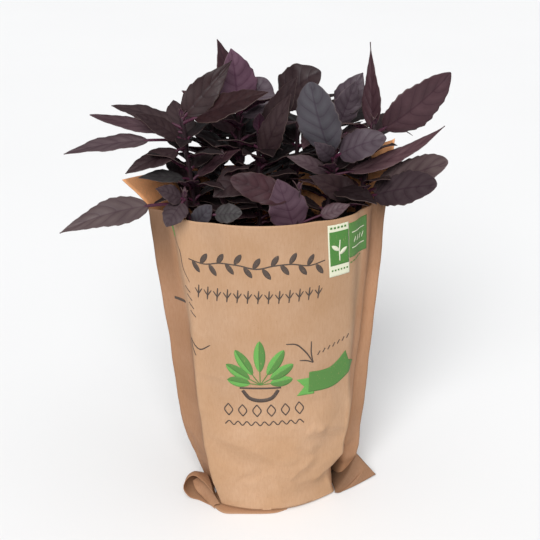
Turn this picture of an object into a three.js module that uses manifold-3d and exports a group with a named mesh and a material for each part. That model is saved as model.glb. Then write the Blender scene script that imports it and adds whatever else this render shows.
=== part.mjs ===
// A living purple basil: leafy stems growing in a nursery pot of soil, in an open kraft-paper bag.
// Millimetres, +Z up. The origin is on the bag's underside, about in its middle, and -Y is the bag's front.
// Each leafy stem is one solid: a square stem with its leaf stalks and toothed blades fused to it.
import * as THREE from "three";
import { mergeVertices } from "three/addons/utils/BufferGeometryUtils.js";
import Module from "manifold-3d";

const wasm = await Module();
wasm.setup();

// ---------- driving dimensions ----------

const PAPER = 1.0; // wall of the bag
const GAP = 0.3; // between pieces that touch

const POT = {
  centre: [2, -3],
  height: 97,
  footRadius: 37,
  mouthRadius: 50.5,
  lipRadius: 52.5,
  lipHeight: 9,
  wall: 1.4,
};
const SOIL = { depth: 84, dome: 3, shoulder: 0.55, shoulderRise: 0.7, holeDepth: 22, holeRadius: 3.0 };
const ROUND_SIDES = 28; // of the pot and the soil

const STEM = { footRadius: 2.3, topRadius: 1.3, rows: 7, sides: 4, leanPower: 0.8 };
const STALK = { share: 0.14, width: 1.9, thickness: 1.7 }; // share of the leaf's length
// A blade widens from its base by the power rise, and narrows to its tip by the power fall.
const BLADE = { thickness: 0.8, tooth: 0.07, toothLean: 0.35, fold: 9, rise: 0.6, fall: 1.05 };

// Leaves placed by the rule. Angles are in degrees, and each later try may turn and move further
// and is shorter.
const GROW = {
  tries: 90,
  turn: 14,
  turnStep: 1.5,
  nodeStep: 0.1,
  shrinkStep: 0.004,
  rise: 16,
  riseRange: 15,
  lengthRange: 0.12,
  bend: 37,
  bendRange: 15,
  tilt: 0.25,
  slimness: 0.42,
};
const CLEAR = { leaf: 4.6, ownLeaf: 4.5, stem: 4.2, bag: 6.5 }; // how far such a leaf stays from each
const FIRST_SEED = 1000;
// The two small leaves at each stem's tip.
const CROWN = { length: 20, width: 9, rise: 62, faceUp: 0.6, bend: 30, firstTurn: 35, nextTurn: 80 };

// ---------- small helpers ----------

const vec = (p) => new THREE.Vector3(...p);
const rad = THREE.MathUtils.degToRad;
const lerp = THREE.MathUtils.lerp;

// A seeded draw from 0 to 1, the same on every machine, by the usual linear congruential rule.
const DRAW = { factor: 1664525, added: 1013904223, modulus: 2 ** 32 };
function drawer(seed) {
  let state = seed;
  return () => {
    state = (state * DRAW.factor + DRAW.added) % DRAW.modulus;
    return state / DRAW.modulus;
  };
}

// A closed geometry as a solid that can be joined and cut.
function solidOf(geometry) {
  const bare = geometry.clone();
  bare.deleteAttribute("normal");
  bare.deleteAttribute("uv");
  const merged = mergeVertices(bare, 1e-4);
  return new wasm.Manifold(
    new wasm.Mesh({
      numProp: 3,
      vertProperties: new Float32Array(merged.attributes.position.array),
      triVerts: new Uint32Array(merged.index.array),
    }),
  );
}

function solidFrom(points, triangles) {
  const geometry = new THREE.BufferGeometry();
  const numbers = points.flatMap((p) => [p.x, p.y, p.z]);
  geometry.setAttribute("position", new THREE.Float32BufferAttribute(numbers, 3));
  geometry.setIndex(triangles.flat());
  return solidOf(geometry);
}

function geometryOf(solid) {
  const made = solid.getMesh();
  const geometry = new THREE.BufferGeometry();
  geometry.setAttribute("position", new THREE.BufferAttribute(made.vertProperties, 3));
  geometry.setIndex(new THREE.BufferAttribute(made.triVerts, 1));
  return geometry.toNonIndexed();
}

// A closed tube through rings of points, which all have the same number of sides and turn alike.
function skin(rings) {
  const sides = rings[0].length;
  const at = (row, side) => row * sides + (side % sides);
  const triangles = [];
  for (let row = 0; row + 1 < rings.length; row++) {
    for (let side = 0; side < sides; side++) {
      triangles.push([at(row, side), at(row, side + 1), at(row + 1, side + 1)]);
      triangles.push([at(row, side), at(row + 1, side + 1), at(row + 1, side)]);
    }
  }
  const last = rings.length - 1;
  for (let side = 1; side + 1 < sides; side++) {
    triangles.push([at(0, 0), at(0, side + 1), at(0, side)]);
    triangles.push([at(last, 0), at(last, side), at(last, side + 1)]);
  }
  return solidFrom(rings.flat(), triangles);
}

// A ring of points round a centre, across the direction ahead.
function ringAt(centre, ahead, radius, sides) {
  const across = new THREE.Vector3(0, 1, 0).cross(ahead).normalize();
  const up = ahead.clone().cross(across);
  return Array.from({ length: sides }, (_, i) => {
    const a = ((i + 0.5) / sides) * 2 * Math.PI;
    const [x, y] = [Math.cos(a) * radius, Math.sin(a) * radius];
    return centre.clone().addScaledVector(across, x).addScaledVector(up, y);
  });
}

// ---------- the paper bag ----------

// Where the bag's folds and bulges lie in plan at each height: the left side crease, the left front
// fold, the middle of the front, the right front fold, the right side crease and the middle of the back.
const BAG_FOLDS = ["creaseL", "foldL", "front", "foldR", "creaseR", "back"];
const BAG_LEVELS = [
  { z: 0, plan: [[-47, -18], [-37, -50], [7, -57], [50, -32], [58, -5], [3, 43]] },
  { z: 14, plan: [[-53, -20], [-41, -51], [7, -58], [52, -33], [66, -8], [3, 48]] },
  { z: 50, plan: [[-64, -22], [-48, -52], [4, -60], [57, -38], [70, -10], [2, 53]] },
  { z: 98, plan: [[-71, -24], [-53, -54], [1, -65], [58, -41], [74, -12], [0, 58]] },
  { z: 135, plan: [[-75, -26], [-56, -54], [-1, -68], [59, -42], [77, -13], [0, 56]] },
  { z: 185, plan: [[-81, -29], [-57, -54], [-3, -70], [60, -42], [81, -15], [0, 51]] },
  { z: 222, plan: [[-85, -30], [-61, -53], [-5, -71], [60, -43], [83, -17], [0, 47]] },
  { z: 236, plan: [[-87, -31], [-62, -53], [-6, -72], [60, -43], [84, -18], [0, 46]] },
  { z: 260, plan: [[-106, -36], [-62, -53], [-6, -72], [60, -43], [87, -17], [0, 50]] },
  { z: 284, plan: [[-120, -40], [-62, -53], [-6, -72], [60, -43], [89, -16], [0, 56]] },
];
// Heights of the paper's top edge.
const BAG_RIM = { front: 235, backLeft: 257, backMiddle: 242, backRight: 281 };
const BAG_STEPS = { front: 9, side: 3, back: 12 }; // points along the front, each side and the back
const BAG_ROWS = [0, 0.06, 0.2, 0.4, 0.6, 0.8, 1];
const VALLEY = { across: 0.05, back: 3.9 }; // how each side is drawn in between its fold and its crease
const BACK_POWER = 3.1; // how square the back's curve is
const CORNER_POWER = 3; // how sharply the back's top edge turns up to its corners
const LIP_STEP = 0.012; // share of the back's width in which its paper rises from the front's height

// The bag's plan points at a height, between the levels.
function bagLevel(z) {
  let upper = BAG_LEVELS.findIndex((level) => level.z >= z);
  upper = upper < 1 ? 1 : upper;
  const [a, b] = [BAG_LEVELS[upper - 1], BAG_LEVELS[upper]];
  const t = (z - a.z) / (b.z - a.z);
  const mix = (i) => [lerp(a.plan[i][0], b.plan[i][0], t), lerp(a.plan[i][1], b.plan[i][1], t)];
  return Object.fromEntries(BAG_FOLDS.map((name, i) => [name, mix(i)]));
}

// Plan point on a side, from its front fold (t 0) to its crease (t 1), drawn in towards the middle.
function sidePoint(fold, crease, t) {
  const pull = Math.sin(Math.PI * t);
  const x = lerp(fold[0], crease[0], t) * (1 - VALLEY.across * pull);
  return [x, lerp(fold[1], crease[1], t) + VALLEY.back * pull * (1 - t)];
}

// The plan point at t along the chord from a to b, pushed back by a bulge.
function onChord(a, b, t, bulge) {
  return [lerp(a[0], b[0], t), lerp(a[1], b[1], t) + bulge];
}

// Plan point on the front, from the left fold (q -1) to the right fold (q 1).
function frontPoint({ foldL, front, foldR }, q) {
  const bulge = (front[1] - (foldL[1] + foldR[1]) / 2) * (1 - q * q);
  return onChord(foldL, foldR, (q + 1) / 2, bulge);
}

// Plan point on the back, from the left crease (q -1) to the right crease (q 1).
function backPoint({ creaseL, creaseR, back }, q) {
  const bulge = (back[1] - (creaseL[1] + creaseR[1]) / 2) * (1 - Math.abs(q) ** BACK_POWER);
  return onChord(creaseL, creaseR, (q + 1) / 2, bulge);
}

// The back's first and last columns are the creases at the front's height. The next ones are close by,
// where the back's edge has risen.
function backColumn(i) {
  const isCrease = i === 0 || i === BAG_STEPS.back + 1;
  const step = (i - 1) / (BAG_STEPS.back - 1);
  const share = isCrease ? Math.sign(i) : lerp(LIP_STEP, 1 - LIP_STEP, step);
  const q = 1 - 2 * share;
  const corner = q > 0 ? BAG_RIM.backRight : BAG_RIM.backLeft;
  const height = lerp(BAG_RIM.backMiddle, corner, Math.abs(q) ** CORNER_POWER);
  return { rim: isCrease ? BAG_RIM.front : height, plan: (level) => backPoint(level, q) };
}

// The outline's columns, anticlockwise seen from above: each gives its plan point at a level and its
// rim height.
function bagColumns() {
  const { front, side, back } = BAG_STEPS;
  const count = (n) => Array.from({ length: n }, (_, i) => i);
  const low = (plan) => ({ rim: BAG_RIM.front, plan });
  return [
    ...count(front).map((i) => low((level) => frontPoint(level, (2 * i) / front - 1))),
    ...count(side).map((i) => low(({ foldR, creaseR }) => sidePoint(foldR, creaseR, i / side))),
    ...count(back + 2).map(backColumn),
    ...count(side - 1).map((i) => low(({ foldL, creaseL }) => sidePoint(foldL, creaseL, 1 - (i + 1) / side))),
  ];
}

// A closed outline moved inwards by a distance, with the move held short at the sharp creases.
const MITRE = { sharpest: 0.2, longest: 3.2 };
function inset(outline, distance) {
  return outline.map((p, i) => {
    const before = outline[(i + outline.length - 1) % outline.length];
    const after = outline[(i + 1) % outline.length];
    const normal = (a, b) => new THREE.Vector2(a[1] - b[1], b[0] - a[0]).normalize();
    const [n1, n2] = [normal(before, p), normal(p, after)];
    const half = n1.clone().add(n2).normalize();
    const reach = Math.min(distance / Math.max(half.dot(n1), MITRE.sharpest), MITRE.longest * distance);
    return [p[0] + half.x * reach, p[1] + half.y * reach];
  });
}

function bagRing(columns, row, thickness, floor) {
  const outline = columns.map((c) => c.plan(bagLevel(c.rim * row)));
  const moved = thickness ? inset(outline, thickness) : outline;
  return moved.map(([x, y], i) => new THREE.Vector3(x, y, Math.max(columns[i].rim * row, floor)));
}

// The bag as an outer and an inner skin, joined along the rim, each closed by a fan across the bottom.
function bagShell() {
  const columns = bagColumns();
  const sides = columns.length;
  const outer = BAG_ROWS.map((row) => bagRing(columns, row, 0, 0));
  const inner = BAG_ROWS.map((row) => bagRing(columns, row, PAPER, PAPER));
  const points = [...outer.flat(), ...inner.flat(), vec([0, 0, 0]), vec([0, 0, PAPER])];
  const rows = BAG_ROWS.length;
  const out = (row, side) => row * sides + (side % sides);
  const into = (row, side) => (rows + row) * sides + (side % sides);
  const [underside, floor] = [2 * rows * sides, 2 * rows * sides + 1];
  const triangles = [];
  for (let side = 0; side < sides; side++) {
    for (let row = 0; row + 1 < rows; row++) {
      triangles.push([out(row, side), out(row, side + 1), out(row + 1, side + 1)]);
      triangles.push([out(row, side), out(row + 1, side + 1), out(row + 1, side)]);
      triangles.push([into(row, side), into(row + 1, side + 1), into(row, side + 1)]);
      triangles.push([into(row, side), into(row + 1, side), into(row + 1, side + 1)]);
    }
    triangles.push([out(rows - 1, side), out(rows - 1, side + 1), into(rows - 1, side + 1)]);
    triangles.push([out(rows - 1, side), into(rows - 1, side + 1), into(rows - 1, side)]);
    triangles.push([underside, out(0, side + 1), out(0, side)]);
    triangles.push([floor, into(0, side), into(0, side + 1)]);
  }
  return solidFrom(points, triangles);
}

// The two bottom corners of the flat bag stick out as ears: the left one rolled, the right one flat.
const EAR_LEFT = { from: [-33, -47, 3], to: [-61, -32, 8.2], fromRadius: 3, toRadius: 8, sides: 8 };
const EAR_RIGHT = {
  crease: [67, -9, 26],
  tip: [84, -7],
  front: [49, -33],
  faces: [0.25, -1, 0.1],
  edge: 1.5,
  thickness: 1.6,
  sink: 3,
};

function leftEar() {
  const { from, to, fromRadius, toRadius, sides } = EAR_LEFT;
  const axis = vec(to).sub(vec(from)).normalize();
  const rings = [ringAt(vec(from), axis, fromRadius, sides), ringAt(vec(to), axis, toRadius, sides)];
  return skin(rings.map((ring) => ring.map((p) => p.setZ(Math.max(p.z, 0)))));
}

function rightEar() {
  const { crease, tip, front, faces, edge, thickness, sink } = EAR_RIGHT;
  const corners = [
    [crease[0] - sink, crease[1] + sink, crease[2]],
    [front[0] - sink, front[1] + sink, 0],
    [tip[0], tip[1], 0],
    [tip[0], tip[1], edge],
    [crease[0] + edge, crease[1], crease[2]],
  ].map(vec);
  const normal = vec(faces).normalize().multiplyScalar(thickness / 2);
  const shift = (sign) => corners.map((c) => c.clone().addScaledVector(normal, sign).setZ(c.z));
  return skin([shift(-1), shift(1)]);
}

function paperBag() {
  return wasm.Manifold.union([bagShell(), leftEar(), rightEar()]);
}

// ---------- the pot and its soil ----------

const POT_FOOT = PAPER + GAP; // the pot stands on the bag's floor

function potRadius(height) {
  return lerp(POT.footRadius, POT.mouthRadius, height / POT.height);
}

function pot() {
  const { height, footRadius, lipRadius, lipHeight, wall } = POT;
  const profile = [
    [0, 0],
    [footRadius, 0],
    [potRadius(height - lipHeight), height - lipHeight],
    [lipRadius, height - lipHeight],
    [lipRadius, height],
    [potRadius(height) - wall, height],
    [footRadius - wall, wall],
    [0, wall],
  ].map((p) => new THREE.Vector2(...p));
  const geometry = new THREE.LatheGeometry(profile, ROUND_SIDES);
  return solidOf(geometry.rotateX(Math.PI / 2).translate(...POT.centre, POT_FOOT));
}

const SOIL_TOP = POT_FOOT + POT.wall + GAP + SOIL.depth;

// The soil fills the pot, is a little domed, and has a plain hole for each stem.
const HOLE_SIDES = 6;
function soil(stems) {
  const bottom = POT.wall + GAP;
  const radiusAt = (z) => potRadius(z) - POT.wall - 2 * GAP;
  const profile = [
    [0, bottom],
    [radiusAt(bottom), bottom],
    [radiusAt(bottom + SOIL.depth), bottom + SOIL.depth],
    [radiusAt(bottom + SOIL.depth) * SOIL.shoulder, bottom + SOIL.depth + SOIL.dome * SOIL.shoulderRise],
    [0, bottom + SOIL.depth + SOIL.dome],
  ].map((p) => new THREE.Vector2(...p));
  const plug = new THREE.LatheGeometry(profile, ROUND_SIDES);
  plug.rotateX(Math.PI / 2).translate(...POT.centre, POT_FOOT);
  const { holeRadius, holeDepth } = SOIL;
  const holes = stems.map((stem) => {
    const hole = new THREE.CylinderGeometry(holeRadius, holeRadius, 2 * holeDepth, HOLE_SIDES);
    return solidOf(hole.rotateX(Math.PI / 2).translate(...stem.foot, SOIL_TOP));
  });
  return holes.reduce((left, hole) => left.subtract(hole), solidOf(plug));
}

// ---------- the leafy stems ----------

// Each stem grows out of the soil at its foot and leans out to its tip. Its leaves are listed as
// [height on the stem, tip of the leaf, blade width, where the upper side faces, bend in degrees], and
// the stalk's share of the length and the blade's fall where they are its own.
// Pairs grown by the rule are [height on the stem, compass direction, leaf length], each with a leaf
// on either side.
const STEMS = [
  {
    name: "stem_left",
    foot: [-34, -8],
    tip: [-61, -22, 298],
    leaves: [
      [297, [-26, -12, 336], 22, [-0.2, -0.9, 0.2], 10, { stalk: 0.06, fall: 1.3 }],
      [294, [-1, -32, 319], 24, [0.1, -0.5, 0.9], 8],
      [290, [-112, -4, 302], 19, [0, -0.25, 1], 18],
      [287, [-124, -28, 302], 12, [0.1, -0.5, 0.8], -10, { fall: 0.85 }],
      [280, [-92, -37, 305], 15, [0.2, -0.7, 0.7], 20],
      [281, [-141, -45, 279], 18, [0.15, -0.3, 1], 24, { stalk: 0.31, fall: 1.15 }],
      [276, [-99, -48, 266], 17, [-0.1, -0.5, 0.9], 16],
      [276, [-70, 22, 299], 22, [-0.2, 0.3, 1], 26],
      [252, [-90, -48, 263], 13, [0, -0.6, 0.9], 20],
    ],
    pairs: [[250, 200, 46], [232, 110, 44]],
  },
  {
    name: "stem_front_left",
    foot: [-28, -28],
    tip: [-59, -47, 248],
    leaves: [
      [246, [-77, -62, 260], 14, [-0.1, -0.8, 0.7], 24],
      [247, [-70, -71, 236], 17, [-0.2, -1, 0.4], 22, { fall: 0.8 }],
      [243, [-142, -76, 233], 22, [0.1, -0.6, 0.8], 54, { stalk: 0.31, fall: 1.3 }],
      [232, [-19, -61, 242], 15, [0, -0.8, 0.7], 24, { stalk: 0.52, fall: 0.7 }],
      [224, [-40, -57, 246], 14, [0.2, -0.8, 0.6], 20, { fall: 0.7 }],
    ],
    pairs: [],
  },
  {
    name: "stem_back_left",
    foot: [-14, 8],
    tip: [-23, 10, 300],
    leaves: [
      [292, [-37, 14, 345], 22, [0.8, -0.7, 0.1], 10],
      [290, [-27, 2, 341], 33, [0.5, -1, 0.2], 14],
      [284, [-3, 26, 314], 34, [-0.2, -0.8, 0.8], 24, { fall: 0.7 }],
    ],
    pairs: [[270, 150, 60], [252, 70, 62], [236, 150, 58], [218, 60, 50]],
  },
  {
    name: "stem_middle",
    foot: [-6, -12],
    tip: [-8, -6, 282],
    leaves: [
      [258, [14, -30, 317], 20, [-0.6, -1, 0.15], 16],
      [268, [19, -16, 326], 22, [-0.75, -0.9, 0.2], 16],
      [252, [-40, -34, 244], 28, [0, -0.7, 0.8], 40],
    ],
    pairs: [[256, 20, 50], [236, 100, 52], [218, 10, 44]],
  },
  {
    name: "stem_right_middle",
    foot: [22, -16],
    tip: [45, -28, 272],
    leaves: [
      [268, [27, -36, 327], 31, [-0.45, -1, 0.35], 34, { fall: 0.65 }],
      [271, [79, -46, 291], 23, [-0.1, -1, 0.7], 54, { fall: 0.7 }],
      [269, [30, -48, 288], 13, [-0.4, -0.9, 0.6], 20],
      [258, [12, -32, 273], 13, [-0.2, -0.6, 0.9], 20],
      [258, [119, -38, 297], 13, [-0.25, -0.7, 1], -50, { fall: 1.2 }],
    ],
    pairs: [[250, 90, 50], [230, 0, 44]],
  },
  {
    name: "stem_right",
    foot: [38, -12],
    tip: [73, -14, 291],
    leaves: [
      [279, [69, -4, 347], 15, [-0.6, -1, 0.1], -10, { fall: 1.8 }],
      [283, [125, -14, 328], 31, [0.3, -1, -0.1], 40, { fall: 0.85 }],
      [239, [121, -50, 275], 27, [0, -0.7, 0.8], 10, { fall: 0.6 }],
      [235, [112, -66, 264], 27, [0, -0.8, 0.7], 20, { stalk: 0.22, fall: 0.6 }],
      [237, [27, -48, 264], 19, [0, -1, 0.3], 16],
    ],
    pairs: [[240, 80, 46]],
  },
  {
    name: "stem_front",
    foot: [10, -34],
    tip: [20, -54, 256],
    leaves: [
      [247, [-27, -58, 266], 20, [0.1, -0.9, 0.4], 10, { fall: 0.65 }],
      [222, [5, -57, 265], 28, [0.1, -1, 0.2], 14, { fall: 0.95 }],
      [230, [55, -52, 245], 11, [0, -0.9, 0.7], 10, { stalk: 0.45 }],
    ],
    pairs: [],
  },
  {
    name: "stem_back_right",
    foot: [30, 18],
    tip: [50, 22, 290],
    leaves: [
      [284, [67, 26, 318], 24, [-0.5, -1, 0.5], 30],
      [276, [61, 16, 314], 20, [0.1, -1, 0.3], 14],
      [268, [106, 32, 269], 14, [0, 0.1, 1], 76],
    ],
    pairs: [[272, 70, 64], [256, 150, 64], [240, 60, 58], [222, 150, 50]],
  },
  {
    name: "stem_back",
    foot: [4, 28],
    tip: [8, 36, 288],
    leaves: [[287, [37, 30, 318], 36, [-0.5, -0.8, 0.7], 70, { fall: 0.8 }]],
    pairs: [[284, 20, 52], [270, 100, 64], [254, 20, 64], [238, 100, 58], [222, 20, 50]],
  },
  {
    name: "stem_far_left",
    foot: [-24, 22],
    tip: [-42, 28, 282],
    leaves: [],
    pairs: [[278, 100, 52], [264, 190, 62], [250, 100, 62], [236, 190, 58], [220, 100, 50]],
  },
  {
    name: "stem_centre",
    foot: [12, 2],
    tip: [20, 4, 282],
    leaves: [],
    pairs: [[276, 130, 52], [258, 40, 58], [240, 130, 54]],
  },
  {
    name: "stem_inner_left",
    foot: [-18, -14],
    tip: [-34, -12, 264],
    leaves: [],
    pairs: [[258, 60, 50], [242, 150, 48], [224, 60, 42]],
  },
];

// The point of a stem at a height. Below the soil's top it stands straight.
function stemPoint({ foot, tip }, z) {
  const t = Math.max(z - SOIL_TOP, 0) / (tip[2] - SOIL_TOP);
  const lean = t ** STEM.leanPower;
  return new THREE.Vector3(lerp(foot[0], tip[0], lean), lerp(foot[1], tip[1], lean), z);
}

// A leaf's frame: the arc from its root on the stem to its tip, bending away from its upper side.
function leafArc(root, tip, face, bend) {
  const chord = tip.clone().sub(root);
  const along = chord.clone().normalize();
  const normal = face.clone().addScaledVector(along, -face.dot(along)).normalize();
  const side = along.clone().cross(normal);
  const length = (chord.length() * (bend / 2)) / Math.sin(bend / 2);
  return { root, along, normal, side, bend, length };
}

// The arc's point, its direction and its upward normal at s, from 0 at the stem to 1 at the tip.
function onArc({ root, along, normal, bend, length }, s) {
  const turn = bend / 2 - bend * s;
  const ahead = (Math.sin(bend / 2) - Math.sin(turn)) / bend;
  const lift = (Math.cos(turn) - Math.cos(bend / 2)) / bend;
  return {
    point: root.clone().addScaledVector(along, length * ahead).addScaledVector(normal, length * lift),
    ahead: along.clone().multiplyScalar(Math.cos(turn)).addScaledVector(normal, Math.sin(turn)),
    up: normal.clone().multiplyScalar(Math.cos(turn)).addScaledVector(along, -Math.sin(turn)),
  };
}

// Half width of a blade, as a share of its widest, at x from 0 at the blade's base to 1 at its tip.
function bladeShare({ fall }, x) {
  const peak = BLADE.rise / (BLADE.rise + fall);
  const widest = peak ** BLADE.rise * (1 - peak) ** fall;
  return (x ** BLADE.rise * (1 - x) ** fall) / widest;
}

// A point of the blade at x along it and halfWidth to one side. Its halves are folded up from the midrib.
function bladePoint(leaf, x, halfWidth) {
  const s = leaf.stalk + x * (1 - leaf.stalk);
  const { point, up } = onArc(leaf.arc, s);
  const fold = rad(BLADE.fold);
  const { side } = leaf.arc;
  const at = point.clone().addScaledVector(side, halfWidth * Math.cos(fold));
  at.addScaledVector(up, Math.abs(halfWidth) * Math.sin(fold));
  const leaning = up.clone().addScaledVector(side, -Math.sign(halfWidth) * Math.tan(fold));
  return { at, up: leaning.normalize() };
}

// A blade has a tooth on each rim in each of its segments.
const SEGMENTS = [
  { over: 24, count: 5 },
  { over: 12, count: 4 },
  { over: 0, count: 3 },
];

// A leaf's rows from its root to its tip, as numbers of points in places. Each row has a point on the
// midrib and one on either rim. The blade's rows also have a tooth on each rim before the next row.
function leafRows(leaf, places) {
  const segments = SEGMENTS.find(({ over }) => leaf.width > over).count;
  const place = (x, halfWidth, thickness) =>
    places.push({ ...bladePoint(leaf, x, halfWidth), thickness }) - 1;
  const onBothSides = (x, half) => [-1, 1].map((sign) => place(x, sign * half, BLADE.thickness));
  const halfAt = (x, factor) => Math.max((bladeShare(leaf, x) * factor * leaf.width) / 2, STALK.width / 2);
  const stalkStart = -leaf.stalk / (1 - leaf.stalk);
  const stalkRows = [stalkStart, stalkStart / 2].map((x) => ({
    middle: place(x, 0, STALK.thickness),
    rims: onBothSides(x, STALK.width / 2),
  }));
  const bladeRows = Array.from({ length: segments }, (_, i) => {
    const [x, toothX] = [i / segments, (i + 0.5 + BLADE.toothLean / 2) / segments];
    return {
      middle: place(x, 0, i === 0 ? STALK.thickness : BLADE.thickness),
      rims: onBothSides(x, halfAt(x, 1 - BLADE.tooth)),
      teeth: onBothSides(toothX, halfAt(toothX, 1 + BLADE.tooth)),
    };
  });
  const tip = place(1, 0, BLADE.thickness);
  return [...stalkRows, ...bladeRows, { middle: tip, rims: [tip, tip] }];
}

// The triangles of the upper face between a row and the next, on side 0 or 1.
function leafStrip(row, next, side) {
  const [start, end] = [row.rims[side], next.rims[side]];
  const tooth = row.teeth?.[side];
  const strip = row.teeth
    ? [[row.middle, start, tooth], [row.middle, tooth, next.middle], [next.middle, tooth, end]]
    : [[row.middle, start, next.middle], [next.middle, start, end]];
  const real = strip.filter((corners) => new Set(corners).size === 3);
  return side === 0 ? real.map(([p, q, r]) => [p, r, q]) : real;
}

// A leaf as one thin closed body: a six-sided stalk that widens into a toothed blade. Both faces are
// split into the same triangles.
function leafBody(leaf) {
  const places = [];
  const rows = leafRows(leaf, places);
  const last = rows.length - 1;
  const faces = rows.slice(0, last).flatMap((row, i) =>
    [0, 1].flatMap((side) => leafStrip(row, rows[i + 1], side)),
  );
  const border = (side) =>
    rows.slice(0, last).flatMap((row) => [row.rims[side], ...(row.teeth ? [row.teeth[side]] : [])]);
  const loop = [rows[0].middle, ...border(1), rows[last].middle, ...border(0).reverse()];
  const count = places.length;
  const walls = loop.flatMap((from, i) => {
    const to = loop[(i + 1) % loop.length];
    return [[from, from + count, to + count], [from, to + count, to]];
  });
  const underside = faces.map(([p, q, r]) => [p + count, r + count, q + count]);
  const skinAt = (sign) =>
    places.map(({ at, up, thickness }) => at.clone().addScaledVector(up, (sign * thickness) / 2));
  return solidFrom([...skinAt(1), ...skinAt(-1)], [...faces, ...underside, ...walls]);
}

// The square stem, from the bottom of its hole in the soil to its tip.
function stemRod(stem) {
  const bottom = SOIL_TOP - SOIL.holeDepth + 2 * GAP;
  const shares = Array.from({ length: STEM.rows }, (_, i) => i / (STEM.rows - 1));
  const rows = shares.map((share) => [lerp(SOIL_TOP, stem.tip[2], share), share]);
  const rings = [[bottom, 0], ...rows].map(([z, share]) => {
    const ahead = stemPoint(stem, z + 1).sub(stemPoint(stem, z - 1)).normalize();
    return ringAt(stemPoint(stem, z), ahead, lerp(STEM.footRadius, STEM.topRadius, share), STEM.sides);
  });
  return skin(rings);
}

// ---------- where the leaves go ----------

const USUAL = { stalk: STALK.share, fall: BLADE.fall };
function makeLeaf(stem, height, tip, width, face, bend, own = {}) {
  const root = stemPoint(stem, Math.min(height, stem.tip[2] - 1));
  return { stem, width, ...USUAL, ...own, arc: leafArc(root, vec(tip), vec(face), rad(bend)) };
}

// Points all over a leaf, close enough together that two leaves that cross come near each other.
// The first of them may be near other leaves of the same stem.
const PROBE = { rows: 10, across: [-1, -0.5, 0, 0.5, 1], nearStem: 20 };
function probes(leaf) {
  const points = [];
  for (let i = 0; i <= PROBE.rows; i++) {
    const x = i / PROBE.rows;
    const half = (bladeShare(leaf, x) * leaf.width) / 2;
    points.push(...PROBE.across.map((q) => bladePoint(leaf, x, half * q).at));
  }
  points.push(onArc(leaf.arc, leaf.stalk / 2).point, onArc(leaf.arc, leaf.stalk).point);
  return points;
}

function near(a, b, distance) {
  return a.some((p) => b.some((q) => p.distanceToSquared(q) < distance * distance));
}

// What a leaf placed by the rule keeps clear of: the bag's upper walls and the other stems.
const WALL = { from: 170, step: 8 };
const STEM_STEP = 5;
function bagProbes() {
  const columns = bagColumns();
  const points = [];
  columns.forEach((column, i) => {
    const next = columns[(i + 1) % columns.length];
    for (let z = WALL.from; z <= Math.max(column.rim, next.rim); z += WALL.step) {
      for (const t of [0, 0.5]) {
        const height = Math.min(z, lerp(column.rim, next.rim, t));
        const level = bagLevel(height);
        points.push(vec([...onChord(column.plan(level), next.plan(level), t, 0), height]));
      }
    }
  });
  return points;
}

function stemProbes(stem) {
  const points = [];
  for (let z = SOIL_TOP; z <= stem.tip[2]; z += STEM_STEP) points.push(stemPoint(stem, z));
  return points;
}

// Whether a new leaf is clear of everything but its own stem.
function isClear(leaf, placed, walls, stems) {
  const points = probes(leaf);
  const touchesStem = (other) => other.stem !== leaf.stem && near(points, other.points, CLEAR.stem);
  if (near(points, walls, CLEAR.bag) || stems.some(touchesStem)) return false;
  return placed.every((other) => {
    if (other.leaf.stem !== leaf.stem) return !near(points, other.points, CLEAR.leaf);
    const [mine, theirs] = [points, other.points].map((all) => all.slice(PROBE.nearStem));
    return !near(mine, theirs, CLEAR.ownLeaf);
  });
}

// A direction from its compass angle and its rise above the level, in degrees.
function direction(compass, rise) {
  const [turn, level] = [rad(compass), Math.cos(rad(rise))];
  return new THREE.Vector3(Math.cos(turn) * level, Math.sin(turn) * level, Math.sin(rad(rise)));
}

// A leaf of a pair: its node, direction, rise, length and bend are drawn, and the first draw that is
// clear is taken.
function growLeaf(stem, height, compass, length, draw, isFree) {
  const spread = (range) => (draw() * 2 - 1) * range;
  for (let i = 0; i < GROW.tries; i++) {
    const node = Math.min(height + spread(GROW.nodeStep * i), stem.tip[2] - 1);
    const turned = compass + spread(GROW.turn + GROW.turnStep * i);
    const out = direction(turned, GROW.rise + spread(GROW.riseRange));
    const long = length * (1 + spread(GROW.lengthRange)) * (1 - GROW.shrinkStep * i);
    const bend = GROW.bend + spread(GROW.bendRange);
    const face = [spread(GROW.tilt), spread(GROW.tilt), 1];
    const tip = stemPoint(stem, node).addScaledVector(out, long).toArray();
    const leaf = makeLeaf(stem, node, tip, long * GROW.slimness, face, bend);
    if (isFree(leaf)) return leaf;
  }
  return null;
}

// The two small leaves at a stem's tip, which face each other.
function crownLeaves(stem, number) {
  return [0, 180].map((side) => {
    const out = direction(CROWN.firstTurn + CROWN.nextTurn * number + side, CROWN.rise);
    const tip = vec(stem.tip).addScaledVector(out, CROWN.length).toArray();
    return makeLeaf(stem, stem.tip[2], tip, CROWN.width, [-out.x, -out.y, CROWN.faceUp], CROWN.bend);
  });
}

// Every leaf: first those that are listed, then each stem's crown and pairs, where they are clear.
function placeLeaves() {
  const walls = bagProbes();
  const stems = STEMS.map((stem) => ({ stem, points: stemProbes(stem) }));
  const placed = [];
  const isFree = (leaf) => isClear(leaf, placed, walls, stems);
  const keep = (leaf) => leaf && placed.push({ leaf, points: probes(leaf) });
  for (const stem of STEMS) {
    stem.leaves.forEach((listed) => keep(makeLeaf(stem, ...listed)));
  }
  STEMS.forEach((stem, number) => {
    const draw = drawer(FIRST_SEED + number);
    crownLeaves(stem, number).forEach((leaf) => isFree(leaf) && keep(leaf));
    for (const [height, compass, length] of stem.pairs) {
      [0, 180].forEach((side) => keep(growLeaf(stem, height, compass + side, length, draw, isFree)));
    }
  });
  return placed.map(({ leaf }) => leaf);
}

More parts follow.
